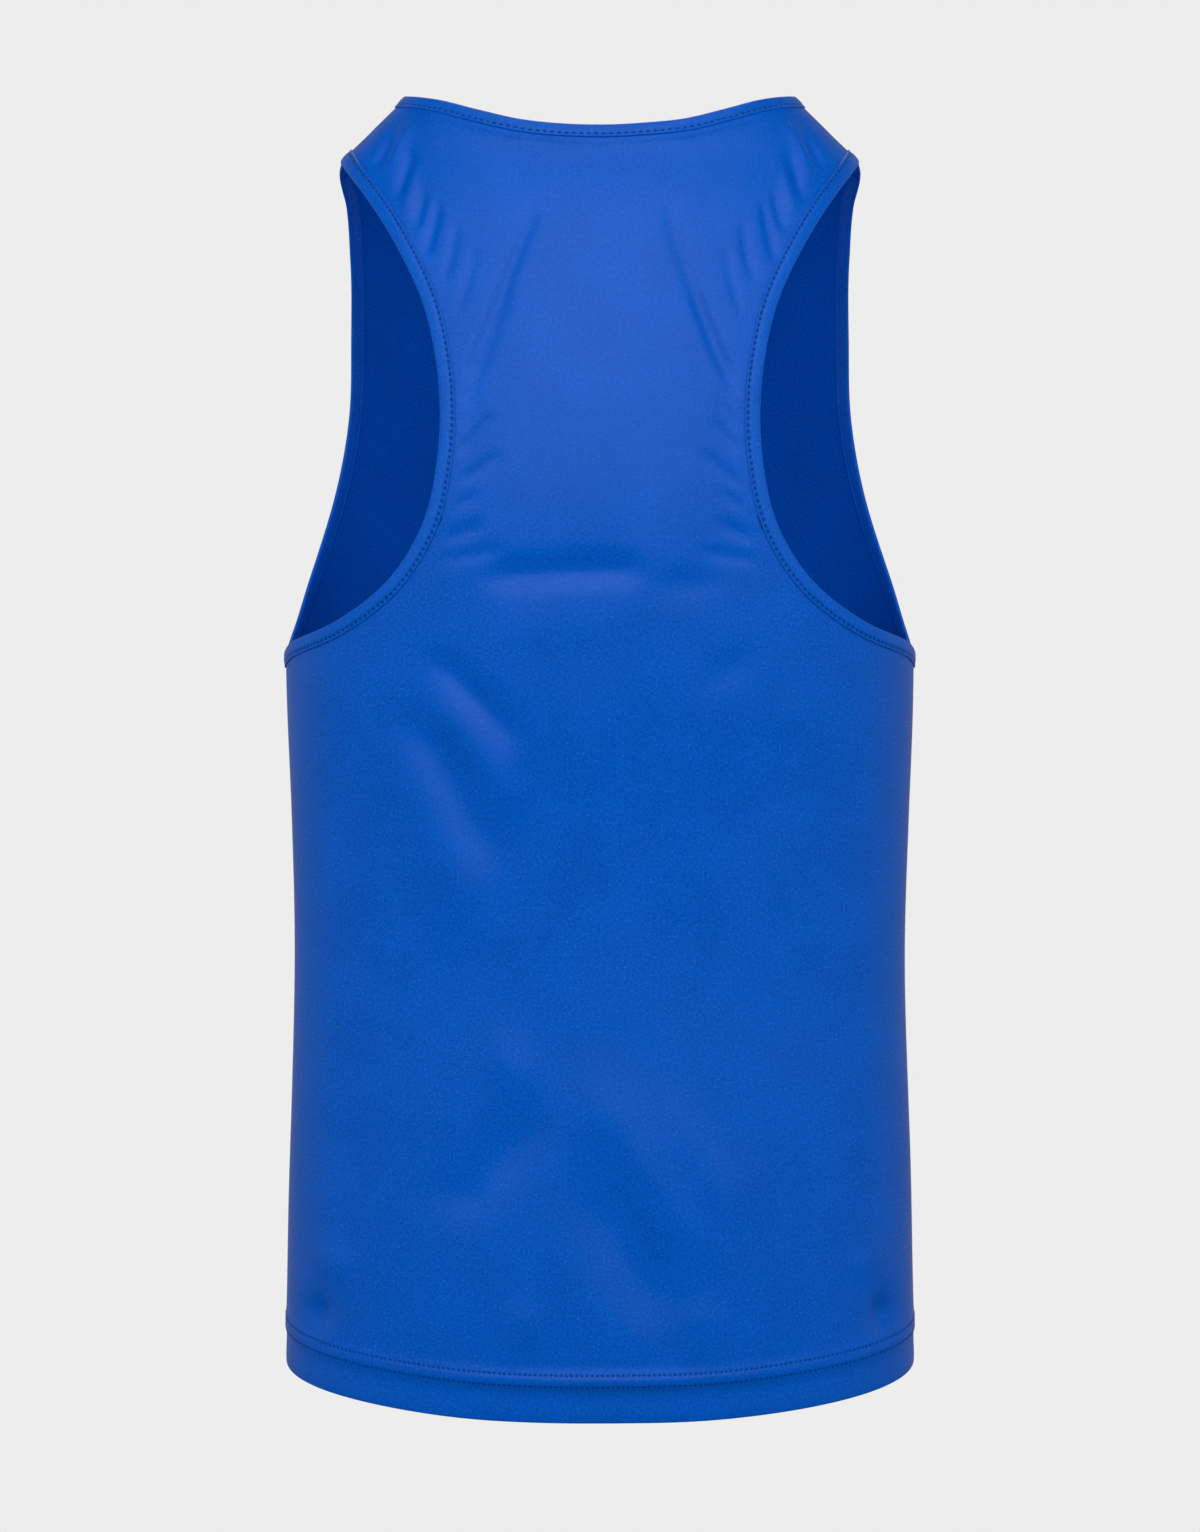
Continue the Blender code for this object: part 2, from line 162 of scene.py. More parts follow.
# Folds: soft ridges and troughs from one point to another. A row gives the first point's
# distance from the centre line, to the wearer's right, and its height, the same for the second
# point, how far the fold's middle is bowed sideways, half of its width, and its lift, which is
# negative for a trough.
FOLDS_BACK = (
    # the groove that the needle pulls along the neck binding
    (-97, -12.2, -44, -28.0, 0, 2.0, -0.8),
    (-52, -26.0, 4, -30.9, -0.8, 2.0, -0.8),
    (97, -12.2, 44, -28.0, 0, 2.0, -0.8),
    (52, -26.0, -4, -30.9, 0.8, 2.0, -0.8),
    # fanning down from the left strap to the armhole
    (-111, -21, -120, -44, 0, 3.5, -2.6),
    (-102, -17, -115, -47, 0, 4.0, 1.6),
    (-100, -35, -108, -61, 0, 3.0, -2.3),
    (-98, -44, -104, -70, 0, 3.0, 1.3),
    (-93, -57, -98, -78, 0, 3.0, -2.2),
    (-85, -63, -92, -93, 0, 3.2, -2.2),
    (-75, -75, -83, -107, 1, 2.8, -1.3),
    (-65, -90, -76, -124, 1, 2.8, -1.0),
    (-34, -67, -70, -157, 1, 3.6, -2.2),
    (-47, -112, -71, -172, 1, 3.4, -1.3),
    (-62, -167, -72, -185, 0, 3.0, -0.6),
    (-56, -176, -73, -197, 0, 3.2, -1.2),
    (-51, -197, -74, -213, 0, 3.5, -0.9),
    (-64, -217, -76, -226, 0, 3.0, -0.8),
    (-60, -234, -83, -243, 0, 4.0, -1.0),
    (-51, -247, -84, -253, 0, 4.0, -0.8),
    # and from the right one
    (110, -22, 119, -45, 0, 3.5, -2.3),
    (102, -18, 114, -48, 0, 4.0, 1.6),
    (101, -36, 108, -62, 0, 3.0, -2.2),
    (97, -44, 104, -71, 0, 3.0, 1.2),
    (92, -57, 97, -80, 0, 3.2, -2.2),
    (86, -62, 92, -95, 0, 3.0, -2.0),
    (75, -76, 82, -108, -1, 3.0, -1.6),
    (66, -88, 75, -126, -1, 2.8, -1.2),
    (35, -66, 71, -160, -3, 3.8, -2.0),
    (49, -112, 71, -168, -1, 3.4, -1.3),
    (61, -166, 72, -186, 0, 3.0, -0.8),
    (57, -178, 73, -196, 0, 3.2, -1.0),
    (52, -196, 74, -214, 0, 3.5, -0.9),
    (64, -216, 75, -227, 0, 3.0, -0.8),
    (60, -233, 82, -242, 0, 4.0, -0.9),
    (52, -248, 84, -254, 0, 4.0, -0.8),
    # across the back, below the yoke
    (-62, -262, 24, -258, 1, 8.0, -2.8),
    (-68, -291, 24, -286, 0, 13.0, 0.5),
    (24, -268, 66, -264, 0, 9.0, -1.0),
    # dragging in from the left armhole, and faintly from the right one
    (-90, -303, -44, -352, 2, 7.0, -3.0),
    (-93, -326, -44, -388, 3, 8.5, 1.6),
    (-102, -334, -58, -420, 4, 11.0, -2.9),
    (-113, -345, -72, -456, 4, 15.0, 1.8),
    (84, -303, 53, -323, -2, 9.0, -1.0),
    (105, -322, 98, -352, 0, 7.0, 1.0),
    # in the lower back
    (-54, -505, -38, -549, 0, 12.0, 1.5),
    (-36, -548, -67, -598, 0, 13.0, -2.2),
    (-90, -594, -59, -600, 0, 13.0, -1.8),
    (-5, -527, 59, -636, -4, 16.0, 2.8),
    (-8, -576, 43, -671, -4, 18.0, -3.6),
    (33, -540, 76, -612, -3, 15.0, 2.0),
    (-54, -666, -30, -668, 0, 14.0, 1.4),
    (44, -668, 66, -664, 0, 14.0, 1.4),
    (-151, -672, -162, -669, 0, 9.5, -4.6),
    (-134, -641, -158, -637, 0, 10.0, 2.4),
    (151, -672, 162, -669, 0, 9.5, -4.4),
    (135, -641, 158, -638, 0, 10.0, 2.2),
)
FOLDS_FRONT = (
    (-96, -186, -68, -244, 4, 10.0, -2.8),
    (92, -192, 62, -256, -4, 11.0, -3.0),
    (-60, -205, 42, -214, -4, 12.0, -2.4),
    (-54, -232, 54, -240, -4, 17.0, 1.5),
    (-104, -150, -84, -182, 1, 5.0, -1.2),
    (102, -156, 82, -190, -1, 5.0, -1.2),
    (-112, -205, -96, -232, 1, 5.0, -1.0),
    (110, -212, 95, -240, -1, 5.0, -1.0),
    (-122, -320, -68, -354, 4, 13.0, -3.4),
    (-118, -338, -74, -376, 4, 13.0, 1.8),
    (114, -324, 76, -364, -4, 13.0, -2.8),
    (-36, -468, 38, -502, 5, 25.0, -3.0),
    (-72, -570, -36, -640, -5, 23.0, -3.6),
    (44, -556, 84, -618, 5, 22.0, -3.3),
    (-8, -616, 24, -668, 0, 25.0, 3.0),
    (150, -662, 160, -650, 0, 9.0, -2.2),
    (-150, -664, -161, -652, 0, 9.0, -2.1),
)
FOLD_FADE = 14.0  # the folds die out over this distance either side of the side seams
FOLD_END = 0.6  # a fold's height near its ends, as a share of its height in the middle
DRIFT = 0.35  # height of the cloth's faint unevenness between its folds

# The long waves that make up that unevenness: each one's strength, how many times it goes round
# the body, its height for a radian, and where it starts.
DRIFT_WAVES = (
    (1.0, 7, 41, 0.0),
    (1.0, 11, -27, 1.3),
    (0.8, 4, 19, 2.1),
)

# Hem, as heights above its turned edge.
NEEDLE_ROWS = (20.6, 27.0)
HEM_EDGE = 28.8  # where the turned-up layer ends
HEM_TOP = 34.0
HEM_TURN_GAP = 0.08  # half of the space between the hem's two layers
HEM_SIDE_SHARE = 0.3  # how much of the hem's profile is left at the side seams

# How far the hem's cloth stands out at each rise. It puffs up between the needle rows, rolls in
# under the lower row, and turns under a little at its edge.
HEM_PROFILE = (
    (-2, -3.0),
    (0, -2.5),
    (3, -1.9),
    (8, -1.75),
    (13, -1.9),
    (16, -1.55),
    (18.5, -0.6),
    (21, 0.9),
    (24, 1.6),
    (27, 1.0),
    (30, 0.3),
    (34, 0),
    (36, 0),
)

# The dip of a seam: how far its cloth sinks at each distance from the seam line.
SEAM_DIP = ((1.8, 0.1), (0.8, 0.45), (0.0, 1.0))
SEAM_LAP = 0.03  # how far the two panels reach over each other there

# Spaces between the mesh's lines, in half a panel and round a binding, and the heights of the
# lines over the hem, closest at its needle rows.
BACK_SPACES = {"neck": 40, "across_strap": 28, "side": 24, "yoke": 130, "strap": 26}
FRONT_SPACES = {"neck": 28, "across_strap": 24, "side": 16, "yoke": 70, "strap": 44}
RING_SPACES = {"neck": 30, "side": 40, "yoke": 110, "strap": 40}
HEM_TO_YOKE_SPACES = 88
HEM_TURN_SPACES = 8
HEM_STITCH_SPACES = 120
HEM_LINES = np.concatenate([np.arange(2, 14, 2), np.arange(14, 30, 0.9), [31, 32.5]])

# The bindings' cross-section.
BINDING_TURN = 1.6  # how far in from the fold line a leg turns into the fold
BINDING_CROWN = 0.22  # how much a leg bulges in its middle
LEG_POINTS = 12
EDGE_POINTS = 3
GROOVE_SPREAD = 0.9  # half the width of the groove along the needle row
CLOTH_GAP = 0.04  # between a binding's inside and the panel in it
INNER_LEG = 0.5  # how far the inner leg stands out, as a share of the outer leg
RAW_EDGE = 2.0  # how far in from the fold line the panel's cut edge is

# Stitches.
DIRECTION_REACH = 0.4  # how far either side of a point the direction of its row is read
THREAD_SIDES = 6
STITCH_RINGS = 6
BINDING_STITCH = 0.62  # a stitch's length, as a share of the pitch
HEM_STITCH = 0.68  # the same along the hem

# Surfaces.
FLECK = 0.24  # how much duller and brighter than its colour the knit's flecks are
PIT_SHADE_SHARE = 0.3  # painted shade in a needle pit: the knit's colour darkened to this share of itself
ROUGHNESS_SPREAD = 0.3  # how much the roughness varies over the knit
CLOUD_SCALE = 28.0  # how small the knit's large faint patches are
PLY_SCALE = 900.0  # how small the thread's plies are
PLY_HEIGHT = 0.00006  # how far they stand out, in metres

BACK, FRONT = 0.0, 180.0  # the angles of the panels' centre lines


# ---------------------------------------------------------------- the form


def hermite(where, knots, values):
    """A smooth curve through the values, read at `where`."""
    slopes = np.gradient(values, knots)
    left = np.clip(np.searchsorted(knots, where) - 1, 0, len(knots) - 2)
    width = knots[left + 1] - knots[left]
    t = (where - knots[left]) / width
    start = (2 * t**3 - 3 * t**2 + 1) * values[left] + (t**3 - 2 * t**2 + t) * width * slopes[left]
    end = (3 * t**2 - 2 * t**3) * values[left + 1] + (t**3 - t**2) * width * slopes[left + 1]
    return start + end


def form_size(name, height):
    return hermite(height, FORM_SIZES["height"], FORM_SIZES[name])


def section_sizes(behind, height):
    """A level section's half width, and its depth behind the side seams or ahead of them."""
    depth = np.where(behind, form_size("behind", height), form_size("ahead", height))
    return form_size("half_width", height), depth


def on_form(angle, height):
    """Points on the form, at angles in degrees and heights in millimetres."""
    angle, height = np.broadcast_arrays(np.radians(angle), np.asarray(height, float))
    side, back = np.sin(angle), np.cos(angle)
    half_width, depth = section_sizes(back > 0, height)
    across = np.abs(side) / half_width
    along = np.abs(back) / depth
    radius = (across**SQUARENESS + along**SQUARENESS) ** (-1 / SQUARENESS)
    return np.stack([radius * side, -radius * back, height], axis=-1)


def angle_of(points):
    return np.degrees(np.arctan2(points[..., 0], -points[..., 1]))


def settle(points):
    """Each point moved level, towards or away from the axis, until it is on the form."""
    return on_form(angle_of(points), points[..., 2])


def unit(vectors):
    return vectors / np.linalg.norm(vectors, axis=-1, keepdims=True)


def form_normal(points):
    """The form's outward normal at points that lie on it."""
    x, y, height = points[..., 0], points[..., 1], points[..., 2]

    def excess(level):
        half_width, depth = section_sizes(y < 0, level)
        return (np.abs(x) / half_width) ** SQUARENESS + (np.abs(y) / depth) ** SQUARENESS

    half_width, depth = section_sizes(y < 0, height)
    power = SQUARENESS - 1
    slope_x = SQUARENESS * np.sign(x) * (np.abs(x) / half_width) ** power / half_width
    slope_y = SQUARENESS * np.sign(y) * (np.abs(y) / depth) ** power / depth
    slope_z = excess(height + 0.5) - excess(height - 0.5)
    return unit(np.stack([slope_x, slope_y, slope_z], axis=-1))


def smoothstep(t):
    t = np.clip(t, 0, 1)
    return t * t * (3 - 2 * t)


def fold_lift(points, folds):
    """How far the folds move each point outwards. A fold is highest in its middle, and fades
    out past its ends."""
    seen = points[..., [0, 2]]
    total = np.zeros(points.shape[:-1])
    for across_1, height_1, across_2, height_2, bend, spread, lift in folds:
        start = np.array([across_1, height_1], float)
        run = np.array([across_2, height_2], float) - start
        length = np.linalg.norm(run)
        sideways = np.array([-run[1], run[0]]) / length
        margin = spread / length
        along = np.clip((seen - start) @ run / length**2, -margin, 1 + margin)
        bow = bend * 4 * along * (1 - along)
        line = start + along[..., None] * run + bow[..., None] * sideways
        distance = np.linalg.norm(seen - line, axis=-1)
        swell = FOLD_END + (1 - FOLD_END) * np.sin(np.pi * np.clip(along, 0, 1))
        for past in (along + margin, 1 + margin - along):
            swell = swell * smoothstep(past / (margin + min(2 * margin, 0.5)))
        total += lift * swell * np.exp(-((distance / spread) ** 2))
    return total


def drift(points):
    """The faint unevenness of knit cloth that hangs free, from a few long waves."""
    round_body = np.arctan2(points[..., 0], -points[..., 1])
    waves = [
        strength * np.sin(times * round_body + points[..., 2] / rise + start)
        for strength, times, rise, start in DRIFT_WAVES
    ]
    return sum(waves) / sum(strength for strength, *_ in DRIFT_WAVES)


def relief(points, fold_depth):
    """The folds' lift, from the back's table behind the side seams and the front's ahead."""
    ahead = points[..., 1]
    lift = np.where(ahead < 0, fold_lift(points, FOLDS_BACK), fold_lift(points, FOLDS_FRONT))
    return (lift + DRIFT * drift(points)) * fold_depth * smoothstep(np.abs(ahead) / FOLD_FADE)


def dressed(points, outward=0.0, fold_depth=1.0):
    """Points of the form moved out along its normal, by the folds' lift and `outward`."""
    return points + form_normal(points) * (relief(points, fold_depth) + outward)[..., None]


def arc_table(heights, angles):
    """Distance round the form from the centre back, at each height and angle."""
    points = on_form(angles[None, :], heights[:, None])
    steps = np.linalg.norm(np.diff(points, axis=1), axis=2)
    return np.concatenate([np.zeros((len(heights), 1)), np.cumsum(steps, axis=1)], axis=1)


def distance_round(points, centre):
    """Signed distance round the form from a panel's centre line, for laying out the knit. It is
    read from a table, in between the table's heights and angles."""
    angles = np.linspace(0, 180, 361)
    heights = np.linspace(-BACK_LENGTH - 20, 10, 75)
    table = arc_table(heights, angles)
    angle = angle_of(points)
    row = np.clip((points[..., 2] - heights[0]) / (heights[1] - heights[0]), 0, len(heights) - 1.001)
    place = np.clip(np.abs(angle) / angles[1], 0, len(angles) - 1.001)
    low, near = row.astype(int), place.astype(int)
    v, u = row - low, place - near
    found = table[low, near] * (1 - v) * (1 - u) + table[low, near + 1] * (1 - v) * u
    found = found + table[low + 1, near] * v * (1 - u) + table[low + 1, near + 1] * v * u
    if centre == FRONT:
        total = table[low, -1] * (1 - v) + table[low + 1, -1] * v
        found = total - found
    return found * np.sign(angle)


# ---------------------------------------------------------------- bound edges


def distances_along(points):
    steps = np.linalg.norm(np.diff(points, axis=0), axis=1)
    return np.concatenate([[0.0], np.cumsum(steps)])


def read_along(line, marks, where):
    """A line's values at distances along it."""
    return np.stack([np.interp(where, marks, values) for values in line.T], axis=-1)


def closed_line(line):
    return np.concatenate([line, line[:1]])


def mirrored(points):
    return points * np.array([-1.0, 1.0, 1.0])


def split_edge(knots, seam, back_spaces, front_spaces):
    """Evenly spaced points on a smooth curve through the knots, from the second knot to the
    knot at `seam` and on to the last but one. The end knots only steer the curve."""
    marks = distances_along(knots)
    back = np.linspace(marks[1], marks[seam], back_spaces + 1)
    front = np.linspace(marks[seam], marks[-2], front_spaces + 1)
    where = np.concatenate([back, front[1:]])
    return settle(np.stack([hermite(where, marks, values) for values in knots.T], axis=1))


def armhole_ring(back_spaces, front_spaces):
    """The right armhole's fold line: up the back from the armpit, then down the front."""
    rows = ARMHOLE_BACK + (ARMHOLE_SEAM,) + ARMHOLE_FRONT
    knots = on_form(*np.array(rows, float).T)
    knots = np.concatenate([knots[-1:], knots, knots[:2]])
    return split_edge(knots, len(ARMHOLE_BACK) + 1, back_spaces, front_spaces)[:-1]


def neck_ring(back_spaces, front_spaces):
    """The neck's fold line: from the centre back past the right shoulder and round."""
    rows = NECK_BACK + (NECK_SEAM,) + NECK_FRONT
    knots = on_form(*np.array(rows, float).T)
    knots = np.concatenate([mirrored(knots[1:2]), knots, mirrored(knots[-2:-1])])
    half = split_edge(knots, len(NECK_BACK) + 1, back_spaces, front_spaces)
    return np.concatenate([half, mirrored(half[-2:0:-1])])


def into_cloth(ring):
    """Unit vectors over the form from each point of a ring into the cloth, and 1 where that
    is to the left of the ring's direction as seen from outside, or -1."""
    tangent = unit(np.roll(ring, -1, axis=0) - np.roll(ring, 1, axis=0))
    left = unit(np.cross(form_normal(ring), tangent))
    turn = np.sign(np.sum(left * (ring - ring.mean(axis=0))))
    return left * turn, turn


def inset(ring, distance):
    """The ring moved into the cloth, over the form, away from the opening."""
    return settle(ring + into_cloth(ring)[0] * distance)


# ---------------------------------------------------------------- panels


def level_row(centre, spaces, centre_height, side_height):
    """Evenly spaced points from a panel's centre line to the side seam."""
    angle = np.linspace(centre, 90, 361)
    side = np.sin(np.radians(angle)) ** HEM_SIDE_POWER
    fine = on_form(angle, centre_height + (side_height - centre_height) * side)
    marks = distances_along(fine)
    return settle(read_along(fine, marks, np.linspace(0, marks[-1], spaces + 1)))


def hem_level(centre, spaces, rise):
    return level_row(centre, spaces, rise - BACK_LENGTH, rise - BACK_LENGTH + HEM_SIDE_RISE)


def hem_lift(points, rise):
    """How far the hem's cloth stands out at each rise, less towards the side seams."""
    lift = hermite(rise, *np.array(HEM_PROFILE, float).T)
    facing = np.cos(np.radians(angle_of(points))) ** 2
    return lift * (HEM_SIDE_SHARE + (1 - HEM_SIDE_SHARE) * facing)


def hem_rows(centre, spaces, thickness):
    """The doubled hem: its inner layer down to the turn, and its outer layer up again. Gives
    the points, how far each row is moved out, its rise, and its height up the cloth."""
    radius = thickness + HEM_TURN_GAP
    inner = np.append(HEM_LINES[HEM_LINES < HEM_EDGE], HEM_EDGE)[::-1]
    turn = np.linspace(0, math.pi, HEM_TURN_SPACES + 1)
    low = radius - radius * np.sin(turn)
    rises = np.concatenate([inner, low, HEM_LINES])
    outward = np.concatenate([0 * inner - 2 * radius, -radius - radius * np.cos(turn), 0 * HEM_LINES])
    points = np.array([hem_level(centre, spaces, rise) for rise in rises])
    return points, outward, rises, np.concatenate([-inner, low, HEM_LINES])


def coons(bottom, top, left, right):
    """A patch of points between four edges that meet at their ends."""
    u = np.linspace(0, 1, len(bottom))[None, :, None]
    rises = [distances_along(edge) / distances_along(edge)[-1] for edge in (left, right)]
    v = np.mean(rises, axis=0)[:, None, None]
    between_rows = bottom[None] * (1 - v) + top[None] * v
    between_sides = left[:, None] * (1 - u) + right[:, None] * u
    low = bottom[0] * (1 - u) + bottom[-1] * u
    high = top[0] * (1 - u) + top[-1] * u
    return settle(between_rows + between_sides - low * (1 - v) - high * v)


def straight(start, end, spaces):
    """Points over the form, on the straight way between two points."""
    return settle(start + (end - start) * np.linspace(0, 1, spaces + 1)[:, None])


def bound_edges(centre, width):
    """A half panel's edges at the armhole and the neck, each as the line under the binding's
    legs and the cut edge. The armhole's run up from the armpit, and the neck's from the
    centre line, both to the shoulder seam."""
    counts = [side["side"] + side["yoke"] + side["strap"] for side in (BACK_SPACES, FRONT_SPACES)]
    neck_counts = [side["neck"] + side["strap"] for side in (BACK_SPACES, FRONT_SPACES)]
    arm, arm_cut = (inset(armhole_ring(*counts), inner) for inner in (width, RAW_EDGE))
    neck, neck_cut = (inset(neck_ring(*neck_counts), inner) for inner in (width, RAW_EDGE))
    if centre == BACK:
        arms = slice(0, counts[0] + 1)
        necks = slice(0, neck_counts[0] + 1)
    else:
        arm, arm_cut = (np.roll(ring[::-1], 1, axis=0) for ring in (arm, arm_cut))
        arms = slice(0, counts[1] + 1)
        necks = slice(sum(neck_counts), neck_counts[0] - 1, -1)
    return arm[arms], arm_cut[arms], neck[necks], neck_cut[necks]


def with_seam_points(line):
    """A line of points that ends at a seam, with extra ones where the cloth dips into it."""
    run = line[-1] - line[-2]
    length = np.linalg.norm(run, axis=-1, keepdims=True)
    near = [line[-1] - run / length * distance for distance, _ in SEAM_DIP[:-1]]
    return np.concatenate([line[:-1], np.array(near), line[-1:]])


def sink_seam(outward):
    """Lower the last rows of distances outward, which are the ones at a seam, by its dip."""
    dip = np.array([depth for _, depth in SEAM_DIP])
    outward[-len(dip) :] -= dip if outward.ndim == 1 else dip[:, None]


def half_panel(centre, width, thickness):
    """The right half of a panel: three blocks of points and the two cut edges under the
    bindings, how far each point is moved out, and the first block's heights up the cloth."""
    spaces = BACK_SPACES if centre == BACK else FRONT_SPACES
    arm, arm_cut, neck, neck_cut = bound_edges(centre, width)
    corner, turn = spaces["side"], spaces["neck"]
    strap_foot = corner + spaces["yoke"]
    columns = turn + spaces["across_strap"]

    across = straight(on_form(centre, arm[corner][2]), arm[corner], columns)
    hem, hem_outward, rises, hem_up = hem_rows(centre, columns + corner, thickness)
    hem_top = hem_level(centre, columns + corner, HEM_TOP)
    body_top = np.concatenate([across, arm[:corner][::-1]])
    part = np.linspace(0, 1, HEM_TO_YOKE_SPACES + 1)[:, None, None]
    body = settle(hem_top + (body_top - hem_top) * part)

    strap_row = straight(neck[turn], arm[strap_foot], spaces["across_strap"])
    centre_line = straight(across[0], neck[0], spaces["yoke"])
    yoke_top = np.concatenate([neck[:turn], strap_row])
    yoke = coons(across, yoke_top, centre_line, arm[corner : strap_foot + 1])
    shoulder = straight(neck[-1], arm[-1], spaces["across_strap"])
    strap = coons(strap_row, shoulder, neck[turn:], arm[strap_foot:])

    # This panel reaches over each seam line by half of the lap.
    facing = 1.0 if centre == BACK else -1.0
    aside = np.array([0, facing * SEAM_LAP / 2, 0])
    lower = np.concatenate([hem, body])
    lower[:, -1] += aside
    arm_cut[0] += aside
    over = unit(np.cross(form_normal(shoulder), unit(shoulder[-1] - shoulder[0])))
    over = over * np.sign(over[:, 1:2]) * facing * SEAM_LAP / 2
    strap[-1] += over
    neck_cut[-1] += over[0]
    arm_cut[-1] += over[-1]

    lower = np.moveaxis(with_seam_points(np.moveaxis(lower, 1, 0)), 0, 1)
    strap = with_seam_points(strap)
    neck_cut = with_seam_points(neck_cut)
    arm_cut = with_seam_points(with_seam_points(arm_cut)[::-1])[::-1]

    body_up = lower[len(hem) :, :, 2] + BACK_LENGTH
    body_up = body_up - (body_up[0] - HEM_TOP) * (1 - part[:, :, 0])
    up = np.concatenate([np.repeat(hem_up[:, None], lower.shape[1], axis=1), body_up])

    blocks = (lower, yoke[1:], strap[1:], neck_cut, arm_cut)
    outward = [np.zeros(block.shape[:-1]) for block in blocks]
    lower_out, _, strap_out, neck_out, arm_out = outward
    lower_out[: len(hem)] = hem_outward[:, None] + hem_lift(lower[: len(hem)], rises[:, None])
    for end in (lower_out.T, strap_out, neck_out, arm_out, arm_out[::-1]):
        sink_seam(end)
    return blocks, outward, up


def numbered(blocks):
    """A grid of point numbers for each block. They run on from one block to the next."""
    shapes = [block.shape[:-1] for block in blocks]
    ends = np.cumsum([math.prod(shape) for shape in shapes])
    return [np.arange(end - math.prod(shape), end).reshape(shape) for shape, end in zip(shapes, ends)]


def grid_faces(grid):
    """Quads of a grid of point numbers, one row of four numbers each."""
    corners = (grid[:-1, :-1], grid[:-1, 1:], grid[1:, 1:], grid[1:, :-1])
    return np.stack([corner.ravel() for corner in corners], axis=1)


def half_faces(blocks, spaces):
    """The faces of a half panel, over its blocks and the strips to its cut edges."""
    turn = spaces["neck"]
    columns = turn + spaces["across_strap"] + 1
    lower, yoke, strap, neck_cut, arm_cut = numbered(blocks)
    yoke = np.concatenate([lower[-1:, :columns], yoke])
    strap = np.concatenate([yoke[-1:, turn:], strap])
    arm_leg = np.concatenate([lower[-1, columns:][::-1], yoke[:, -1], strap[1:, -1]])
    neck_leg = np.concatenate([yoke[-1, :turn], strap[:, 0]])
    strips = (np.stack([neck_leg, neck_cut]), np.stack([arm_leg, arm_cut], axis=1))
    return np.concatenate([grid_faces(grid) for grid in (lower, yoke, strap, *strips)])


def panel_mesh(name, centre, settings):
    """Both halves' outer face, joined along the centre line where they share it."""
    shape = settings.shape
    width, thickness = shape.binding_width / MM, shape.cloth_thickness / MM
    blocks, outward, up = half_panel(centre, width, thickness)
    spaces = BACK_SPACES if centre == BACK else FRONT_SPACES
    faces = half_faces(blocks, spaces)
    points = np.concatenate([block.reshape(-1, 3) for block in blocks])
    push = np.concatenate([block.ravel() for block in outward])
    height_up = points[:, 2] + BACK_LENGTH
    height_up[: up.size] = up.ravel()

    places, corners, layout = [], [], []
    for side in (1, -1):
        half = points * [side, 1, 1]
        places.append(dressed(half, push, shape.fold_depth))
        flip = (side == 1) != (centre == BACK)
        corners.append((faces[:, ::-1] if flip else faces) + len(points) * (side == -1))
        layout.append(np.stack([distance_round(half, centre), height_up], axis=1))
    return finished_mesh(name, np.concatenate(places), np.concatenate(corners), np.concatenate(layout))


def finished_mesh(name, points, faces, layout):
    """A smooth mesh of the points, in metres, with its layout on the cloth as its UV map."""
    mesh = bpy.data.meshes.new(name)
    mesh.from_pydata((points * MM).tolist(), [], faces.tolist())
    corner_points = np.zeros(len(mesh.loops), int)
    mesh.loops.foreach_get("vertex_index", corner_points)
    uv_map = mesh.uv_layers.new(name="Cloth")
    uv_map.uv.foreach_set("vector", (layout[corner_points] * MM).astype(np.float32).ravel())
    shell = bmesh.new()
    shell.from_mesh(mesh)
    bmesh.ops.remove_doubles(shell, verts=shell.verts, dist=1e-6)
    shell.to_mesh(mesh)
    shell.free()
    mesh.shade_smooth()
    return mesh


# ---------------------------------------------------------------- bindings


def binding_section(shape):
    """The binding's cross-section, as (in from the fold, outward) points: along its outer leg
    from the ditch, round the fold and along its inner leg, and back between the two legs. Also
    where its needle row lies, in from the fold, and how far outward."""
    width, cloth = shape.binding_width / MM, shape.cloth_thickness / MM
    proud, groove = shape.binding_proud / MM, shape.stitch_sink / MM
    stitched = width - shape.stitch_inset / MM
    across = np.linspace(width - 0.5, BINDING_TURN, LEG_POINTS)
    crown = BINDING_CROWN * np.sin(np.pi * (width - across) / width)
    sink = groove * np.exp(-(((across - stitched) / GROOVE_SPREAD) ** 2))
    leg = np.stack([across, proud + crown - sink], axis=1)
    edge = np.array([(width, CLOTH_GAP), (width + 0.06, proud * 0.45), (width - 0.1, proud * 0.82)])
    flatter = np.array([1, -INNER_LEG])
    under = flatter * np.concatenate([leg[::-1], edge[::-1]]) - [0, cloth]
    top, bottom = leg[-1][1], under[0][1]
    radius, middle = (top - bottom) / 2, (top + bottom) / 2
    turn = np.radians(np.linspace(75, -75, 7))
    fold = np.stack([BINDING_TURN - BINDING_TURN * np.cos(turn), middle + radius * np.sin(turn)], axis=1)
    low, high = -cloth - CLOTH_GAP, CLOTH_GAP
    inside = np.array([(width - 0.4, low), (RAW_EDGE, low)])
    back = np.array([(BINDING_TURN, -cloth / 2), (RAW_EDGE, high), (width - 0.4, high)])
    return np.concatenate([edge, leg, fold, under, inside, back]), stitched, proud - groove


def needle_place(shape):
    """How far round a binding's cross-section its needle row lies."""
    section, stitched, _ = binding_section(shape)
    outer_leg = section[: EDGE_POINTS + LEG_POINTS, 0]
    return distances_along(section)[np.argmin(np.abs(outer_leg - stitched))]


def ring_of(name):
    """A finely divided fold line: the neck's, or the right or left armhole's."""
    neck, side, yoke, strap = RING_SPACES.values()
    if name == "neck":
        return neck_ring(neck + strap, 2 * neck + 3 * strap)
    ring = armhole_ring(side + yoke + strap, side + yoke)
    return ring if name == "right" else mirrored(ring)


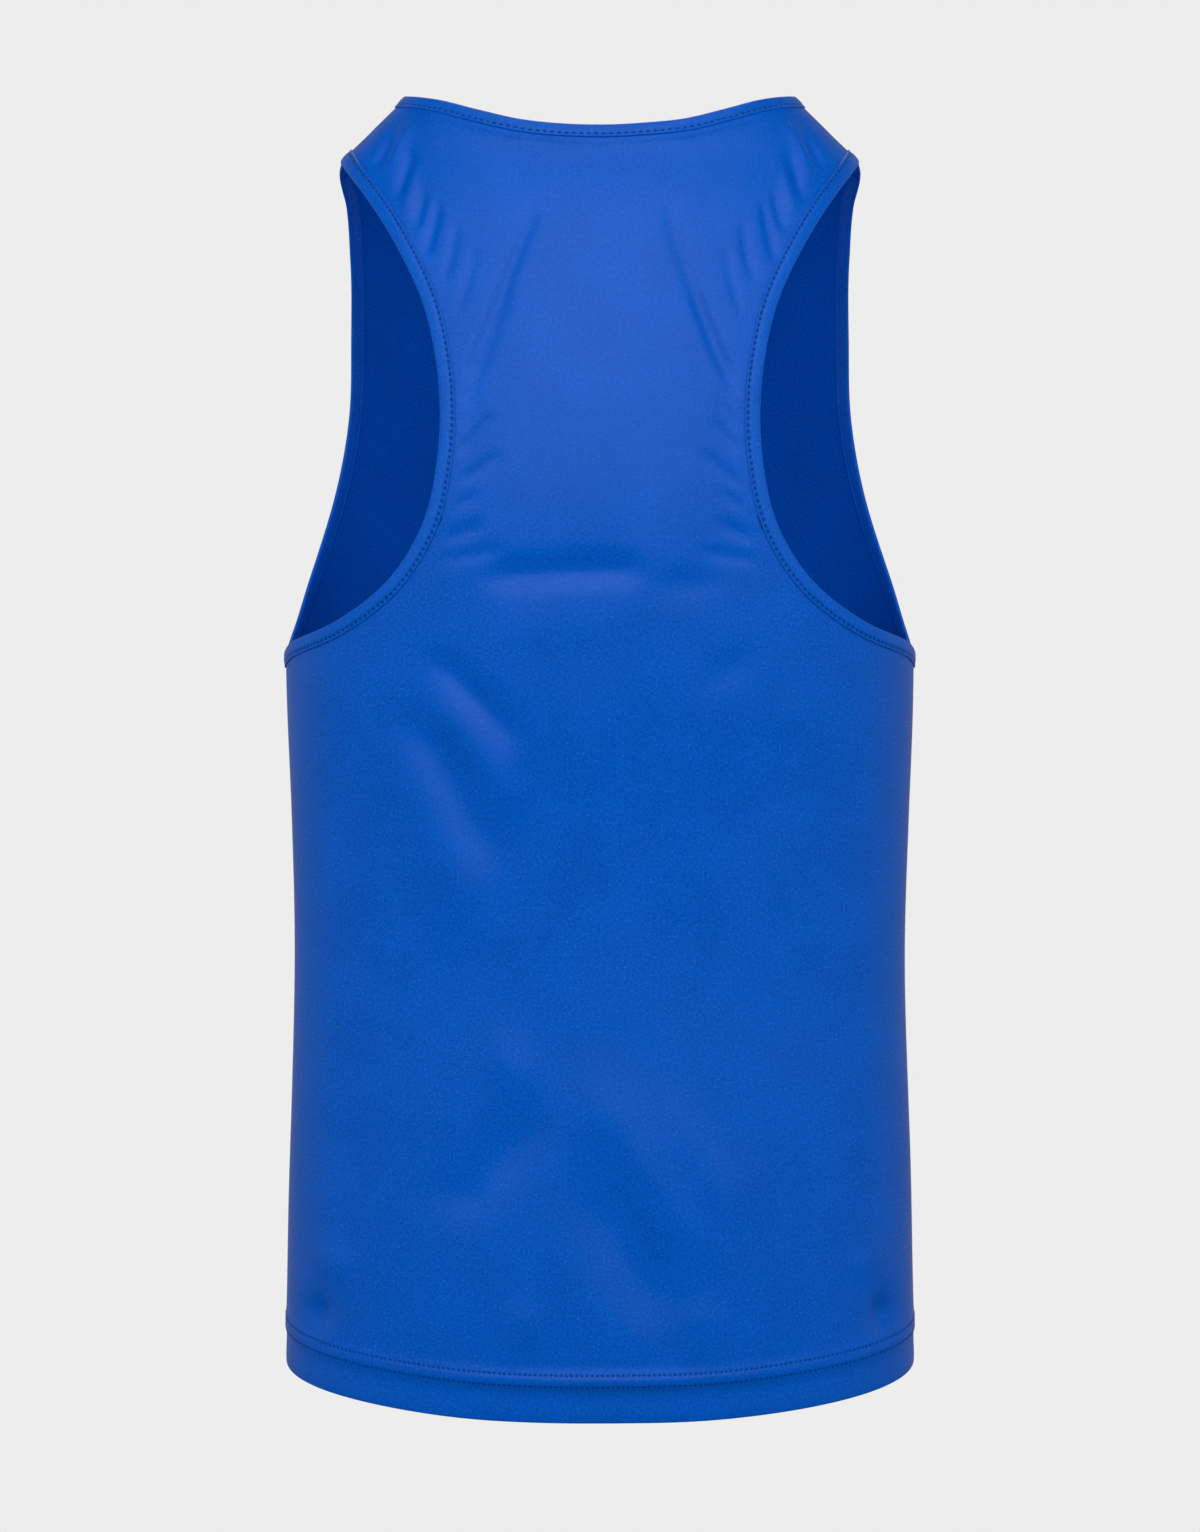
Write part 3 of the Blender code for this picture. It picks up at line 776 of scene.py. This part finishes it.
def binding_mesh(name, ring, shape):
    """A strip folded round a cut edge, as a closed ring of cross-sections."""
    section = closed_line(binding_section(shape)[0])
    lengths, around = distances_along(closed_line(ring)), distances_along(section)
    lines = [
        closed_line(dressed(inset(ring, inner), outward, shape.fold_depth))
        for inner, outward in section
    ]
    layout = np.stack(np.broadcast_arrays(lengths[None, :], around[:, None]), axis=-1)
    faces = grid_faces(np.arange(layout[..., 0].size).reshape(layout.shape[:2]))
    if into_cloth(ring)[1] > 0:
        faces = faces[:, ::-1]
    return finished_mesh(name, np.concatenate(lines), faces, layout.reshape(-1, 2))


def whole_pitch(ring, pitch):
    """The pitch nearest to the one asked for that goes round the ring a whole number of times."""
    length = distances_along(closed_line(ring))[-1]
    return length / round(length / pitch)


def bindings(sewing):
    """Each binding's name, the solid that it stands for, its fold line and its pitch."""
    for name, node, pitch in (
        ("neck", "neck_binding", sewing.neck_pitch),
        ("right", "armhole_binding_right", sewing.armhole_pitch),
        ("left", "armhole_binding_left", sewing.armhole_pitch),
    ):
        ring = ring_of(name)
        yield name, node, ring, whole_pitch(ring, pitch / MM)


# ---------------------------------------------------------------- sewing


def stitch_points(row, pitch, stitch, thread):
    """Points of a row of stitches: short arched threads whose ends go down into the cloth. They
    lie half a pitch past each whole pitch of the layout, as the needle pits do."""
    line, normals, marks = row
    numbers = np.arange(math.ceil(marks[0] / pitch), math.floor(marks[-1] / pitch))
    along = np.linspace(0, 1, STITCH_RINGS)
    where = (numbers[:, None] + 0.5) * pitch + (along - 0.5) * stitch
    points = read_along(line, marks, where)
    ahead, behind = (read_along(line, marks, where + way * DIRECTION_REACH) for way in (1, -1))
    direction = unit(ahead - behind)
    up = unit(read_along(normals, marks, where))
    side = unit(np.cross(direction, up))
    height = thread * (1.3 * np.sin(np.pi * along) - 0.8)
    radius = thread / 2 * (0.55 + 0.45 * np.sin(np.pi * along))
    centre = points + up * height[None, :, None]
    turn = np.linspace(0, 2 * np.pi, THREAD_SIDES + 1)[:-1]
    ring = np.cos(turn)[:, None] * side[:, :, None] + np.sin(turn)[:, None] * up[:, :, None]
    return (centre[:, :, None] + ring * radius[None, :, None, None]).reshape(-1, 3), len(numbers)


def stitches_mesh(name, rows, pitch, stitch, thread):
    """One mesh of several rows of stitches. A row is a line, its outward normals, and its
    points' distances along the layout."""
    all_points, all_faces, total = [], [], 0
    for row in rows:
        points, count = stitch_points(row, pitch, stitch, thread)
        grid = np.arange(len(points)).reshape(count, STITCH_RINGS, THREAD_SIDES) + total
        for tube in grid:
            all_faces.append(grid_faces(np.concatenate([tube, tube[:, :1]], axis=1)))
            all_faces.append(tube[[[0], [0]], [[3, 2, 1, 0], [5, 4, 3, 0]]])
            all_faces.append(tube[[[-1], [-1]], [[0, 1, 2, 3], [0, 3, 4, 5]]])
        all_points.append(points)
        total += len(points)
    points = np.concatenate(all_points)
    return finished_mesh(name, points, np.concatenate(all_faces), points[:, [0, 2]])


def binding_row(ring, shape):
    """The needle row on a binding's outer leg."""
    _, stitched, level = binding_section(shape)
    base = closed_line(inset(ring, stitched))
    line = dressed(base, level, shape.fold_depth)
    return line, form_normal(base), distances_along(closed_line(ring))


def hem_row(centre, rise, shape):
    """A needle row all along a panel's hem, from side seam to side seam."""
    half = hem_level(centre, HEM_STITCH_SPACES, rise)
    whole = np.concatenate([mirrored(half[:0:-1]), half])[2:-2]
    line = dressed(whole, hem_lift(whole, rise), shape.fold_depth)
    return line, form_normal(whole), distance_round(whole, centre)


# ---------------------------------------------------------------- materials


def set_inputs(node, values):
    for label, value in values.items():
        node.inputs[label].default_value = value


def new_material(name):
    material = bpy.data.materials.new(name)
    material.use_nodes = True
    return material, material.node_tree, material.node_tree.nodes["Principled BSDF"]


def raise_surface(tree, shader, height, distance):
    """A Bump node between a height and the shader's normal."""
    bump = tree.nodes.new("ShaderNodeBump")
    bump.inputs["Distance"].default_value = distance
    tree.links.new(height, bump.inputs["Height"])
    tree.links.new(bump.outputs["Normal"], shader.inputs["Normal"])


def new_group(name, inputs, outputs):
    """A shader node group with named sockets, as (type, name, default) and (type, name)."""
    group = bpy.data.node_groups.new(name, "ShaderNodeTree")
    for kind, label, default in inputs:
        socket = group.interface.new_socket(label, in_out="INPUT", socket_type=kind)
        if default is not None:
            socket.default_value = default
    for kind, label in outputs:
        group.interface.new_socket(label, in_out="OUTPUT", socket_type=kind)
    return group, group.nodes.new("NodeGroupInput"), group.nodes.new("NodeGroupOutput")


def maths(tree, operation, first, second=None, third=None):
    """A Math node's output. Each value is a socket or a number."""
    node = tree.nodes.new("ShaderNodeMath")
    node.operation = operation
    for socket, value in zip(node.inputs, (first, second, third)):
        if value is None:
            continue
        if isinstance(value, bpy.types.NodeSocket):
            tree.links.new(value, socket)
        else:
            socket.default_value = value
    return node.outputs[0]


def blended(tree, factor, first, second):
    """A colour mix's output. Each colour is a socket or three numbers."""
    node = tree.nodes.new("ShaderNodeMix")
    node.data_type = "RGBA"
    node.clamp_factor = True
    tree.links.new(factor, node.inputs["Factor"])
    for name, colour in (("A", first), ("B", second)):
        socket = next(each for each in node.inputs if each.name == name and each.type == "RGBA")
        if isinstance(colour, bpy.types.NodeSocket):
            tree.links.new(colour, socket)
        else:
            socket.default_value = (*colour, 1)
    return next(each for each in node.outputs if each.type == "RGBA")


def satin_knit_group():
    """Fine loops of a satin-faced knit: wales up the cloth, courses across it."""
    group, given, made = new_group(
        "Satin knit",
        (
            ("NodeSocketVector", "Place", None),
            ("NodeSocketFloat", "Wale", 0.0007),
            ("NodeSocketFloat", "Course", 0.0005),
            ("NodeSocketFloat", "Mottle size", 0.0016),
        ),
        (("NodeSocketFloat", "Loops"), ("NodeSocketFloat", "Mottle"), ("NodeSocketFloat", "Cloud")),
    )
    split = group.nodes.new("ShaderNodeSeparateXYZ")
    group.links.new(given.outputs["Place"], split.inputs[0])
    wales = maths(group, "DIVIDE", split.outputs["X"], given.outputs["Wale"])
    courses = maths(group, "DIVIDE", split.outputs["Y"], given.outputs["Course"])
    slant = maths(group, "PINGPONG", wales, 0.5)
    leaning = maths(group, "MULTIPLY_ADD", slant, 1.1, courses)
    legs = maths(group, "ABSOLUTE", maths(group, "SINE", maths(group, "MULTIPLY", wales, 2 * math.pi)))
    waves = maths(group, "SINE", maths(group, "MULTIPLY", leaning, 2 * math.pi))
    waves = maths(group, "MULTIPLY_ADD", waves, 0.5, 0.5)
    loops = maths(group, "MULTIPLY", maths(group, "MULTIPLY_ADD", waves, 0.6, 0.4), legs)
    group.links.new(loops, made.inputs["Loops"])
    for label, size, detail in (("Mottle", "Mottle size", 2.0), ("Cloud", None, 3.0)):
        noise = group.nodes.new("ShaderNodeTexNoise")
        noise.inputs["Detail"].default_value = detail
        group.links.new(given.outputs["Place"], noise.inputs["Vector"])
        if size:
            scale = maths(group, "DIVIDE", 1.0, given.outputs[size])
            group.links.new(scale, noise.inputs["Scale"])
        else:
            noise.inputs["Scale"].default_value = CLOUD_SCALE
        group.links.new(noise.outputs["Fac"], made.inputs[label])
    return group


def needle_pits_group():
    """Small pits where a row of stitches pulls the cloth down."""
    group, given, made = new_group(
        "Needle pits",
        (
            ("NodeSocketVector", "Place", None),
            ("NodeSocketFloat", "Row", 0.0),
            ("NodeSocketFloat", "Pitch", 0.003),
            ("NodeSocketFloat", "Width", 0.0006),
        ),
        (("NodeSocketFloat", "Pit"),),
    )
    split = group.nodes.new("ShaderNodeSeparateXYZ")
    group.links.new(given.outputs["Place"], split.inputs[0])
    across = maths(group, "SUBTRACT", split.outputs["Y"], given.outputs["Row"])
    across = maths(group, "DIVIDE", across, given.outputs["Width"])
    band = maths(group, "EXPONENT", maths(group, "MULTIPLY", maths(group, "POWER", across, 2.0), -1.0))
    along = maths(group, "DIVIDE", split.outputs["X"], given.outputs["Pitch"])
    beat = maths(group, "COSINE", maths(group, "MULTIPLY", along, 2 * math.pi))
    beat = maths(group, "MULTIPLY_ADD", beat, -0.5, 0.5)
    group.links.new(maths(group, "MULTIPLY", band, beat), made.inputs["Pit"])
    return group


def placed(tree, group, place, values):
    """A node of the group, fed with the place on the cloth and its own values."""
    node = tree.nodes.new("ShaderNodeGroup")
    node.node_tree = group
    tree.links.new(place, node.inputs["Place"])
    set_inputs(node, values)
    return node


def knit_material(name, colour, settings, rows=(), inside=False, sheen=None):
    """Satin-faced polyester knit. `rows` are needle rows, as (height in the layout, pitch, how
    much painted shade darkens their pits)."""
    finish = settings.finish
    material, tree, shader = new_material(name)
    place = tree.nodes.new("ShaderNodeUVMap")
    place.uv_map = "Cloth"
    sizes = {"Wale": finish.wale, "Course": finish.course, "Mottle size": finish.mottle_size}
    knit = placed(tree, bpy.data.node_groups["Satin knit"], place.outputs["UV"], sizes)

    fleck = maths(tree, "MULTIPLY_ADD", knit.outputs["Mottle"], 1.8, -0.65)
    amount = maths(tree, "MULTIPLY_ADD", knit.outputs["Cloud"], 0.5, fleck)
    dull, bright = ([value * share for value in colour] for share in (1 - FLECK, 1 + FLECK))
    surface = blended(tree, amount, dull, bright)

    height = maths(tree, "MULTIPLY", knit.outputs["Loops"], finish.loop_height / MM)
    height = maths(tree, "MULTIPLY_ADD", knit.outputs["Mottle"], finish.mottle_height / MM, height)
    for row, pitch, shadow in rows:
        values = {"Row": row, "Pitch": pitch, "Width": finish.pit_width}
        pits = placed(tree, bpy.data.node_groups["Needle pits"], place.outputs["UV"], values)
        height = maths(tree, "MULTIPLY_ADD", pits.outputs["Pit"], -finish.pit_depth / MM, height)
        # Painted shade: the knit's colour is darkened in each needle pit, where shadow falls in it
        dark = maths(tree, "MULTIPLY", pits.outputs["Pit"], shadow)
        surface = blended(tree, dark, surface, [value * PIT_SHADE_SHARE for value in colour])
    tree.links.new(surface, shader.inputs["Base Color"])

    rough = (finish.inside_roughness if inside else finish.roughness) - ROUGHNESS_SPREAD / 2
    varied = maths(tree, "MULTIPLY_ADD", knit.outputs["Mottle"], ROUGHNESS_SPREAD, rough)
    tree.links.new(varied, shader.inputs["Roughness"])
    raise_surface(tree, shader, height, MM)
    face = {
        "Specular IOR Level": 0.0 if inside else finish.gloss,
        "Specular Tint": (*finish.gloss_tint, 1),
        "Sheen Weight": finish.sheen if sheen is None else sheen,
        "Sheen Roughness": finish.sheen_roughness,
        "Sheen Tint": (*finish.sheen_tint, 1),
    }
    set_inputs(shader, face)
    return material


def thread_material(settings):
    """Filament sewing thread, with the twist of its plies across each stitch."""
    material, tree, shader = new_material("sewing_thread")
    place = tree.nodes.new("ShaderNodeTexCoord")
    wave = tree.nodes.new("ShaderNodeTexWave")
    wave.bands_direction = "DIAGONAL"
    set_inputs(wave, {"Scale": PLY_SCALE, "Distortion": 0.6})
    tree.links.new(place.outputs["Object"], wave.inputs["Vector"])
    # The thread colour holds painted shade of the stitch holes as well as the thread's own colour
    light, dark = ([value * share for value in settings.finish.thread_and_shade_colour] for share in (1.1, 0.8))
    tree.links.new(blended(tree, wave.outputs["Fac"], dark, light), shader.inputs["Base Color"])
    raise_surface(tree, shader, wave.outputs["Fac"], PLY_HEIGHT)
    set_inputs(shader, {"Roughness": 0.5, "Specular IOR Level": 0.1})
    return material


# ---------------------------------------------------------------- settings


def length_property(name, default, description):
    return bpy.props.FloatProperty(
        name=name, default=default, description=description, unit="LENGTH", precision=5, min=0.0
    )


def colour_property(name, default, description):
    return bpy.props.FloatVectorProperty(
        name=name, default=default, description=description, subtype="COLOR", size=3, min=0.0, max=1.0
    )


def share_property(name, default, description, most=1.0):
    return bpy.props.FloatProperty(
        name=name, default=default, description=description, subtype="FACTOR", min=0.0, max=most
    )


class VestShape(bpy.types.PropertyGroup):
    """Sizes of the cloth and its bindings"""

    cloth_thickness: length_property("Cloth", 0.0007, "Thickness of the knit")
    fold_depth: share_property("Fold depth", 1.0, "Depth of the creases, as a share of the real one", 2.0)
    binding_width: length_property("Binding width", 0.0085, "Width of each leg of a binding")
    binding_proud: length_property("Binding stands out", 0.00095, "Height of a binding over its panel")
    stitch_inset: length_property("Stitch inset", 0.0018, "From a binding's edge in to its stitches")
    stitch_sink: length_property("Stitch sink", 0.0004, "Depth that a needle row pulls a binding in")


class VestSewing(bpy.types.PropertyGroup):
    """Sizes of the sewing"""

    neck_pitch: length_property("Neck stitch", 0.0038, "From one stitch to the next at the neck")
    armhole_pitch: length_property("Armhole stitch", 0.0032, "From one stitch to the next at an armhole")
    hem_pitch: length_property("Hem stitch", 0.0028, "From one stitch to the next at the hem")
    thread: length_property("Thread", 0.00042, "Thickness of the thread")


class VestFinish(bpy.types.PropertyGroup):
    """Colours and surface of the knit"""

    panel_colour: colour_property("Panels", (0.0, 0.103, 0.575), "Colour of the knit's face")
    inside_colour: colour_property("Inside", (0.0, 0.09, 0.53), "Colour of the knit's reverse")
    binding_colour: colour_property("Bindings", (0.0, 0.105, 0.58), "Colour of the bindings")
    # The thread's colour: a little darker than the cloth in its own right, and darker still as painted shade
    # of its stitch holes
    thread_and_shade_colour: colour_property("Thread", (0.0, 0.035, 0.24), "Colour of the sewing thread")
    gloss: share_property("Gloss", 0.25, "Strength of the satin face's reflection")
    gloss_tint: colour_property("Gloss tint", (0.65, 0.55, 1.0), "Tint of the reflection")
    roughness: share_property("Roughness", 0.22, "Roughness of the satin face")
    inside_roughness: share_property("Inside roughness", 0.8, "Roughness of the reverse")
    sheen: share_property("Sheen", 0.0, "Soft glow of the filaments at grazing angles")
    binding_sheen: share_property("Binding sheen", 0.06, "The same on the bindings")
    sheen_roughness: share_property("Sheen roughness", 0.35, "Spread of that glow")
    sheen_tint: colour_property("Sheen tint", (0.4, 0.5, 1.0), "Tint of that glow")
    wale: length_property("Wale", 0.0007, "Width of a column of loops")
    course: length_property("Course", 0.00055, "Height of a row of loops")
    loop_height: length_property("Loop height", 0.00004, "Height of the loops")
    mottle_size: length_property("Mottle size", 0.0014, "Size of the knit's faint unevenness")
    mottle_height: length_property("Mottle height", 0.00007, "Height of that unevenness")
    pit_depth: length_property("Needle pits", 0.0004, "Depth of the pit at each stitch")
    pit_width: length_property("Pit width", 0.0007, "Half the width of the pit at each stitch")
    # Painted shade: how far the colour in the needle pits is darkened, on the bindings and along the hem
    pit_shadow: share_property("Pit shadow", 0.8, "How dark a binding's needle pits are")
    hem_shadow: share_property("Hem pit shadow", 0.25, "How dark the hem's needle pits are")


class VestStage(bpy.types.PropertyGroup):
    """The studio and the camera"""

    backdrop: colour_property("Backdrop", (0.847, 0.847, 0.847), "Colour of the floor and backdrop")
    floor_drop: length_property("Floor drop", 0.65, "How far the floor lies below the hem")
    top_card: share_property("Top card", 2.0, "Brightness of the card that the yoke mirrors", 10.0)
    far_card: share_property("Far card", 2.5, "Brightness of the card that the chest mirrors", 10.0)
    key_light: share_property("Key light", 1.9, "Brightness of the large light over the camera", 10.0)
    far_light: share_property("Far light", 1.7, "Brightness of the light on the far side", 10.0)
    fill_near: share_property("Fill, near", 0.2, "Even light from the near and far sides", 5.0)
    fill_aside: share_property("Fill, aside", 1.4, "Even light from the two sides", 5.0)
    mirrored_near: share_property("Reflections, near", 0.0, "Brightness of the room's near side", 5.0)
    mirrored_far: share_property("Reflections, far", 0.29, "Brightness of the room's far side", 5.0)
    camera_distance: length_property("Camera distance", 1.7, "From the camera to the vest's middle")
    camera_drop: length_property("Camera drop", 0.22, "How far the camera is below the shoulders")
    aim_drop: length_property("Aim drop", 0.371, "How far below the shoulders it aims")
    lens: bpy.props.FloatProperty(
        name="Lens", default=71.04, min=1.0, unit="CAMERA", description="Focal length, in millimetres"
    )


class VestSettings(bpy.types.PropertyGroup):
    """All of the vest's settings"""

    shape: bpy.props.PointerProperty(type=VestShape, name="Shape", description="Sizes of the cloth")
    sewing: bpy.props.PointerProperty(type=VestSewing, name="Sewing", description="Sizes of the sewing")
    finish: bpy.props.PointerProperty(type=VestFinish, name="Finish", description="Colours and surface")
    stage: bpy.props.PointerProperty(type=VestStage, name="Stage", description="Studio and camera")


# ---------------------------------------------------------------- operators


def add_piece(mesh, slot, materials, *nodes):
    """An object of the mesh that rides with the vest and stands for the named solids."""
    piece = bpy.data.objects.new(mesh.name, mesh)
    for material in materials:
        mesh.materials.append(material)
    bpy.context.scene.collection.objects.link(piece)
    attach(piece, BODY)
    if nodes:
        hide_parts(*nodes)
    return piece


def make_knit_groups():
    if "Satin knit" not in bpy.data.node_groups:
        satin_knit_group()
        needle_pits_group()


class VEST_OT_sew_panels(bpy.types.Operator):
    """Make the back and the front as thin cloth, each with its doubled hem"""

    bl_idname = "vest.sew_panels"
    bl_label = "Sew the panels"

    def execute(self, context):
        settings = context.scene.vest
        shape, finish = settings.shape, settings.finish
        make_knit_groups()
        rows = [(row * MM, settings.sewing.hem_pitch, finish.hem_shadow) for row in NEEDLE_ROWS]
        face = knit_material("panel_knit_face", finish.panel_colour, settings, rows)
        reverse = knit_material("panel_knit_reverse", finish.inside_colour, settings, inside=True, sheen=0.0)
        for side, centre in (("back", BACK), ("front", FRONT)):
            mesh = panel_mesh(f"{side}_cloth", centre, settings)
            piece = add_piece(mesh, "panel_knit", (face, reverse), f"{side}_panel")
            shell = piece.modifiers.new("Cloth", "SOLIDIFY")
            shell.thickness = shape.cloth_thickness
            shell.offset = -1
            shell.material_offset = 1
            shell.material_offset_rim = 1
        return {"FINISHED"}


class VEST_OT_bind_edges(bpy.types.Operator):
    """Fold a strip of the knit round the neck and round each armhole"""

    bl_idname = "vest.bind_edges"
    bl_label = "Bind the edges"

    def execute(self, context):
        settings = context.scene.vest
        finish = settings.finish
        make_knit_groups()
        row = needle_place(settings.shape) * MM
        for name, node, ring, pitch in bindings(settings.sewing):
            mesh = binding_mesh(f"{name}_binding_cloth", ring, settings.shape)
            rows = [(row, pitch * MM, finish.pit_shadow)]
            knit = knit_material(
                f"{name}_binding_knit", finish.binding_colour, settings, rows, sheen=finish.binding_sheen
            )
            piece = add_piece(mesh, "binding_knit", (knit,), node)
        return {"FINISHED"}


class VEST_OT_stitch_rows(bpy.types.Operator):
    """Sew the needle rows on the bindings and along the hem"""

    bl_idname = "vest.stitch_rows"
    bl_label = "Stitch the rows"

    def execute(self, context):
        settings = context.scene.vest
        shape, sewing = settings.shape, settings.sewing
        thread = sewing.thread / MM
        material = thread_material(settings)
        for name, _, ring, pitch in bindings(sewing):
            rows = [binding_row(ring, shape)]
            mesh = stitches_mesh(f"{name}_binding_stitches", rows, pitch, pitch * BINDING_STITCH, thread)
            add_piece(mesh, "binding_knit", (material,))
        pitch = sewing.hem_pitch / MM
        for side, centre in (("back", BACK), ("front", FRONT)):
            rows = [hem_row(centre, rise, shape) for rise in NEEDLE_ROWS]
            mesh = stitches_mesh(f"{side}_hem_stitches", rows, pitch, pitch * HEM_STITCH, thread)
            add_piece(mesh, "panel_knit", (material,))
        return {"FINISHED"}


def aimed(place, target):
    """A rotation that looks from one point to another."""
    return (Vector(target) - Vector(place)).to_track_quat("-Z", "Y").to_euler()


def light_room(world, stage):
    """The world's light: a pale backdrop, a fill that is brighter aside, and soft reflections
    that are brighter on the far side, low down."""
    world.use_nodes = True
    tree = world.node_tree
    tree.nodes.clear()
    place = tree.nodes.new("ShaderNodeTexCoord")
    split = tree.nodes.new("ShaderNodeSeparateXYZ")
    tree.links.new(place.outputs["Generated"], split.inputs[0])
    steep = maths(tree, "ABSOLUTE", split.outputs["Z"])
    aside = maths(tree, "ABSOLUTE", split.outputs["X"])
    levels = []
    for way, fall, start, end, least, most in (
        (aside, 1.1, 0.2, 0.8, stage.fill_near, stage.fill_aside),
        (split.outputs["Y"], 1.2, -0.3, 0.6, stage.mirrored_near, stage.mirrored_far),
    ):
        # The light comes from that way, and less of it from high up and low down.
        blend = tree.nodes.new("ShaderNodeMapRange")
        blend.interpolation_type = "SMOOTHSTEP"
        set_inputs(blend, {"From Min": start, "From Max": end, "To Min": least, "To Max": most})
        tree.links.new(maths(tree, "MULTIPLY_ADD", steep, -fall, way), blend.inputs["Value"])
        levels.append(blend.outputs["Result"])
    paths = tree.nodes.new("ShaderNodeLightPath")
    level = tree.nodes.new("ShaderNodeMix")
    tree.links.new(paths.outputs["Is Glossy Ray"], level.inputs["Factor"])
    tree.links.new(levels[0], level.inputs["A"])
    tree.links.new(levels[1], level.inputs["B"])
    room = tree.nodes.new("ShaderNodeBackground")
    tree.links.new(level.outputs["Result"], room.inputs["Strength"])
    seen = tree.nodes.new("ShaderNodeBackground")
    seen.inputs["Color"].default_value = (*stage.backdrop, 1)
    mix = tree.nodes.new("ShaderNodeMixShader")
    tree.links.new(paths.outputs["Is Camera Ray"], mix.inputs["Fac"])
    tree.links.new(room.outputs[0], mix.inputs[1])
    tree.links.new(seen.outputs[0], mix.inputs[2])
    output = tree.nodes.new("ShaderNodeOutputWorld")
    tree.links.new(mix.outputs[0], output.inputs["Surface"])


def soft_light(name, place, target, size, radiance, matt=True, glossy=True):
    """A rectangular soft light of an even brightness, which may light the cloth's matt colour
    only, or be seen in its gloss only."""
    width, height = size
    light = bpy.data.lights.new(name, "AREA")
    light.shape = "RECTANGLE"
    light.size, light.size_y = width, height
    light.energy = radiance * math.pi * width * height
    lamp = bpy.data.objects.new(name, light)
    lamp.location = place
    lamp.rotation_euler = aimed(place, target)
    lamp.visible_camera = False
    lamp.visible_diffuse = matt
    lamp.visible_glossy = glossy
    bpy.context.scene.collection.objects.link(lamp)


class VEST_OT_set_stage(bpy.types.Operator):
    """Set a plain pale floor, soft studio light and the camera"""

    bl_idname = "vest.set_stage"
    bl_label = "Set the stage"

    def execute(self, context):
        scene = context.scene
        stage = scene.vest.stage
        scene.view_settings.view_transform = "Standard"
        scene.world = scene.world or bpy.data.worlds.new("Studio")
        scene.world.cycles.sampling_method = "NONE"  # so that gloss only sees its own reflections
        light_room(scene.world, stage)

        floor_mesh = bpy.data.meshes.new("floor")
        plane = bmesh.new()
        bmesh.ops.create_grid(plane, x_segments=1, y_segments=1, size=20.0)
        plane.to_mesh(floor_mesh)
        plane.free()
        floor = bpy.data.objects.new("floor", floor_mesh)
        floor.location.z = CAD_BOX[0].z - stage.floor_drop
        floor.visible_diffuse = False
        floor.visible_glossy = False
        pale, _, shader = new_material("pale_floor")
        set_inputs(shader, {"Base Color": (0, 0, 0, 1), "Specular IOR Level": 0.0})
        set_inputs(shader, {"Emission Color": (*stage.backdrop, 1), "Emission Strength": 1.0})
        floor_mesh.materials.append(pale)
        scene.collection.objects.link(floor)

        middle = Vector((0.0, 0.0, -stage.aim_drop))
        large, card = (3.2, 2.2), (0.85, 1.2)
        soft_light("key_light", (0.0, -1.85, 0.59), middle, large, stage.key_light)
        soft_light("far_light", (0.0, 1.85, 0.45), middle, large, stage.far_light, glossy=False)
        soft_light("top_card", (0.0, -0.6, 1.5), middle, card, stage.top_card, matt=False)
        soft_light("far_card", (0.0, 1.2, 1.4), middle, card, stage.far_card, matt=False)

        camera = bpy.data.objects.new("camera", bpy.data.cameras.new("camera"))
        camera.data.sensor_width = 36.0
        camera.data.lens = stage.lens
        camera.location = (0.0, -stage.camera_distance, -stage.camera_drop)
        camera.rotation_euler = aimed(camera.location, middle)
        scene.collection.objects.link(camera)
        scene.camera = camera
        return {"FINISHED"}


class VEST_PT_panel(bpy.types.Panel):
    """The vest's settings and its making, step by step"""

    bl_idname = "VEST_PT_panel"
    bl_label = "Boxing vest"
    bl_space_type = "VIEW_3D"
    bl_region_type = "UI"
    bl_category = "Vest"

    def draw(self, context):
        settings = context.scene.vest
        for name in ("shape", "sewing", "finish", "stage"):
            group = getattr(settings, name)
            box = self.layout.box()
            box.label(text=name.capitalize())
            for label in type(group).__annotations__:
                box.prop(group, label)
        for operator in OPERATORS:
            self.layout.operator(operator.bl_idname)


OPERATORS = (VEST_OT_sew_panels, VEST_OT_bind_edges, VEST_OT_stitch_rows, VEST_OT_set_stage)
CLASSES = (VestShape, VestSewing, VestFinish, VestStage, VestSettings, *OPERATORS, VEST_PT_panel)


def register():
    for each in CLASSES:
        bpy.utils.register_class(each)
    bpy.types.Scene.vest = bpy.props.PointerProperty(type=VestSettings)


def unregister():
    del bpy.types.Scene.vest
    for each in reversed(CLASSES):
        bpy.utils.unregister_class(each)


def main():
    register()
    bpy.ops.vest.sew_panels()
    bpy.ops.vest.bind_edges()
    bpy.ops.vest.stitch_rows()
    bpy.ops.vest.set_stage()


if __name__ == "__main__":
    main()
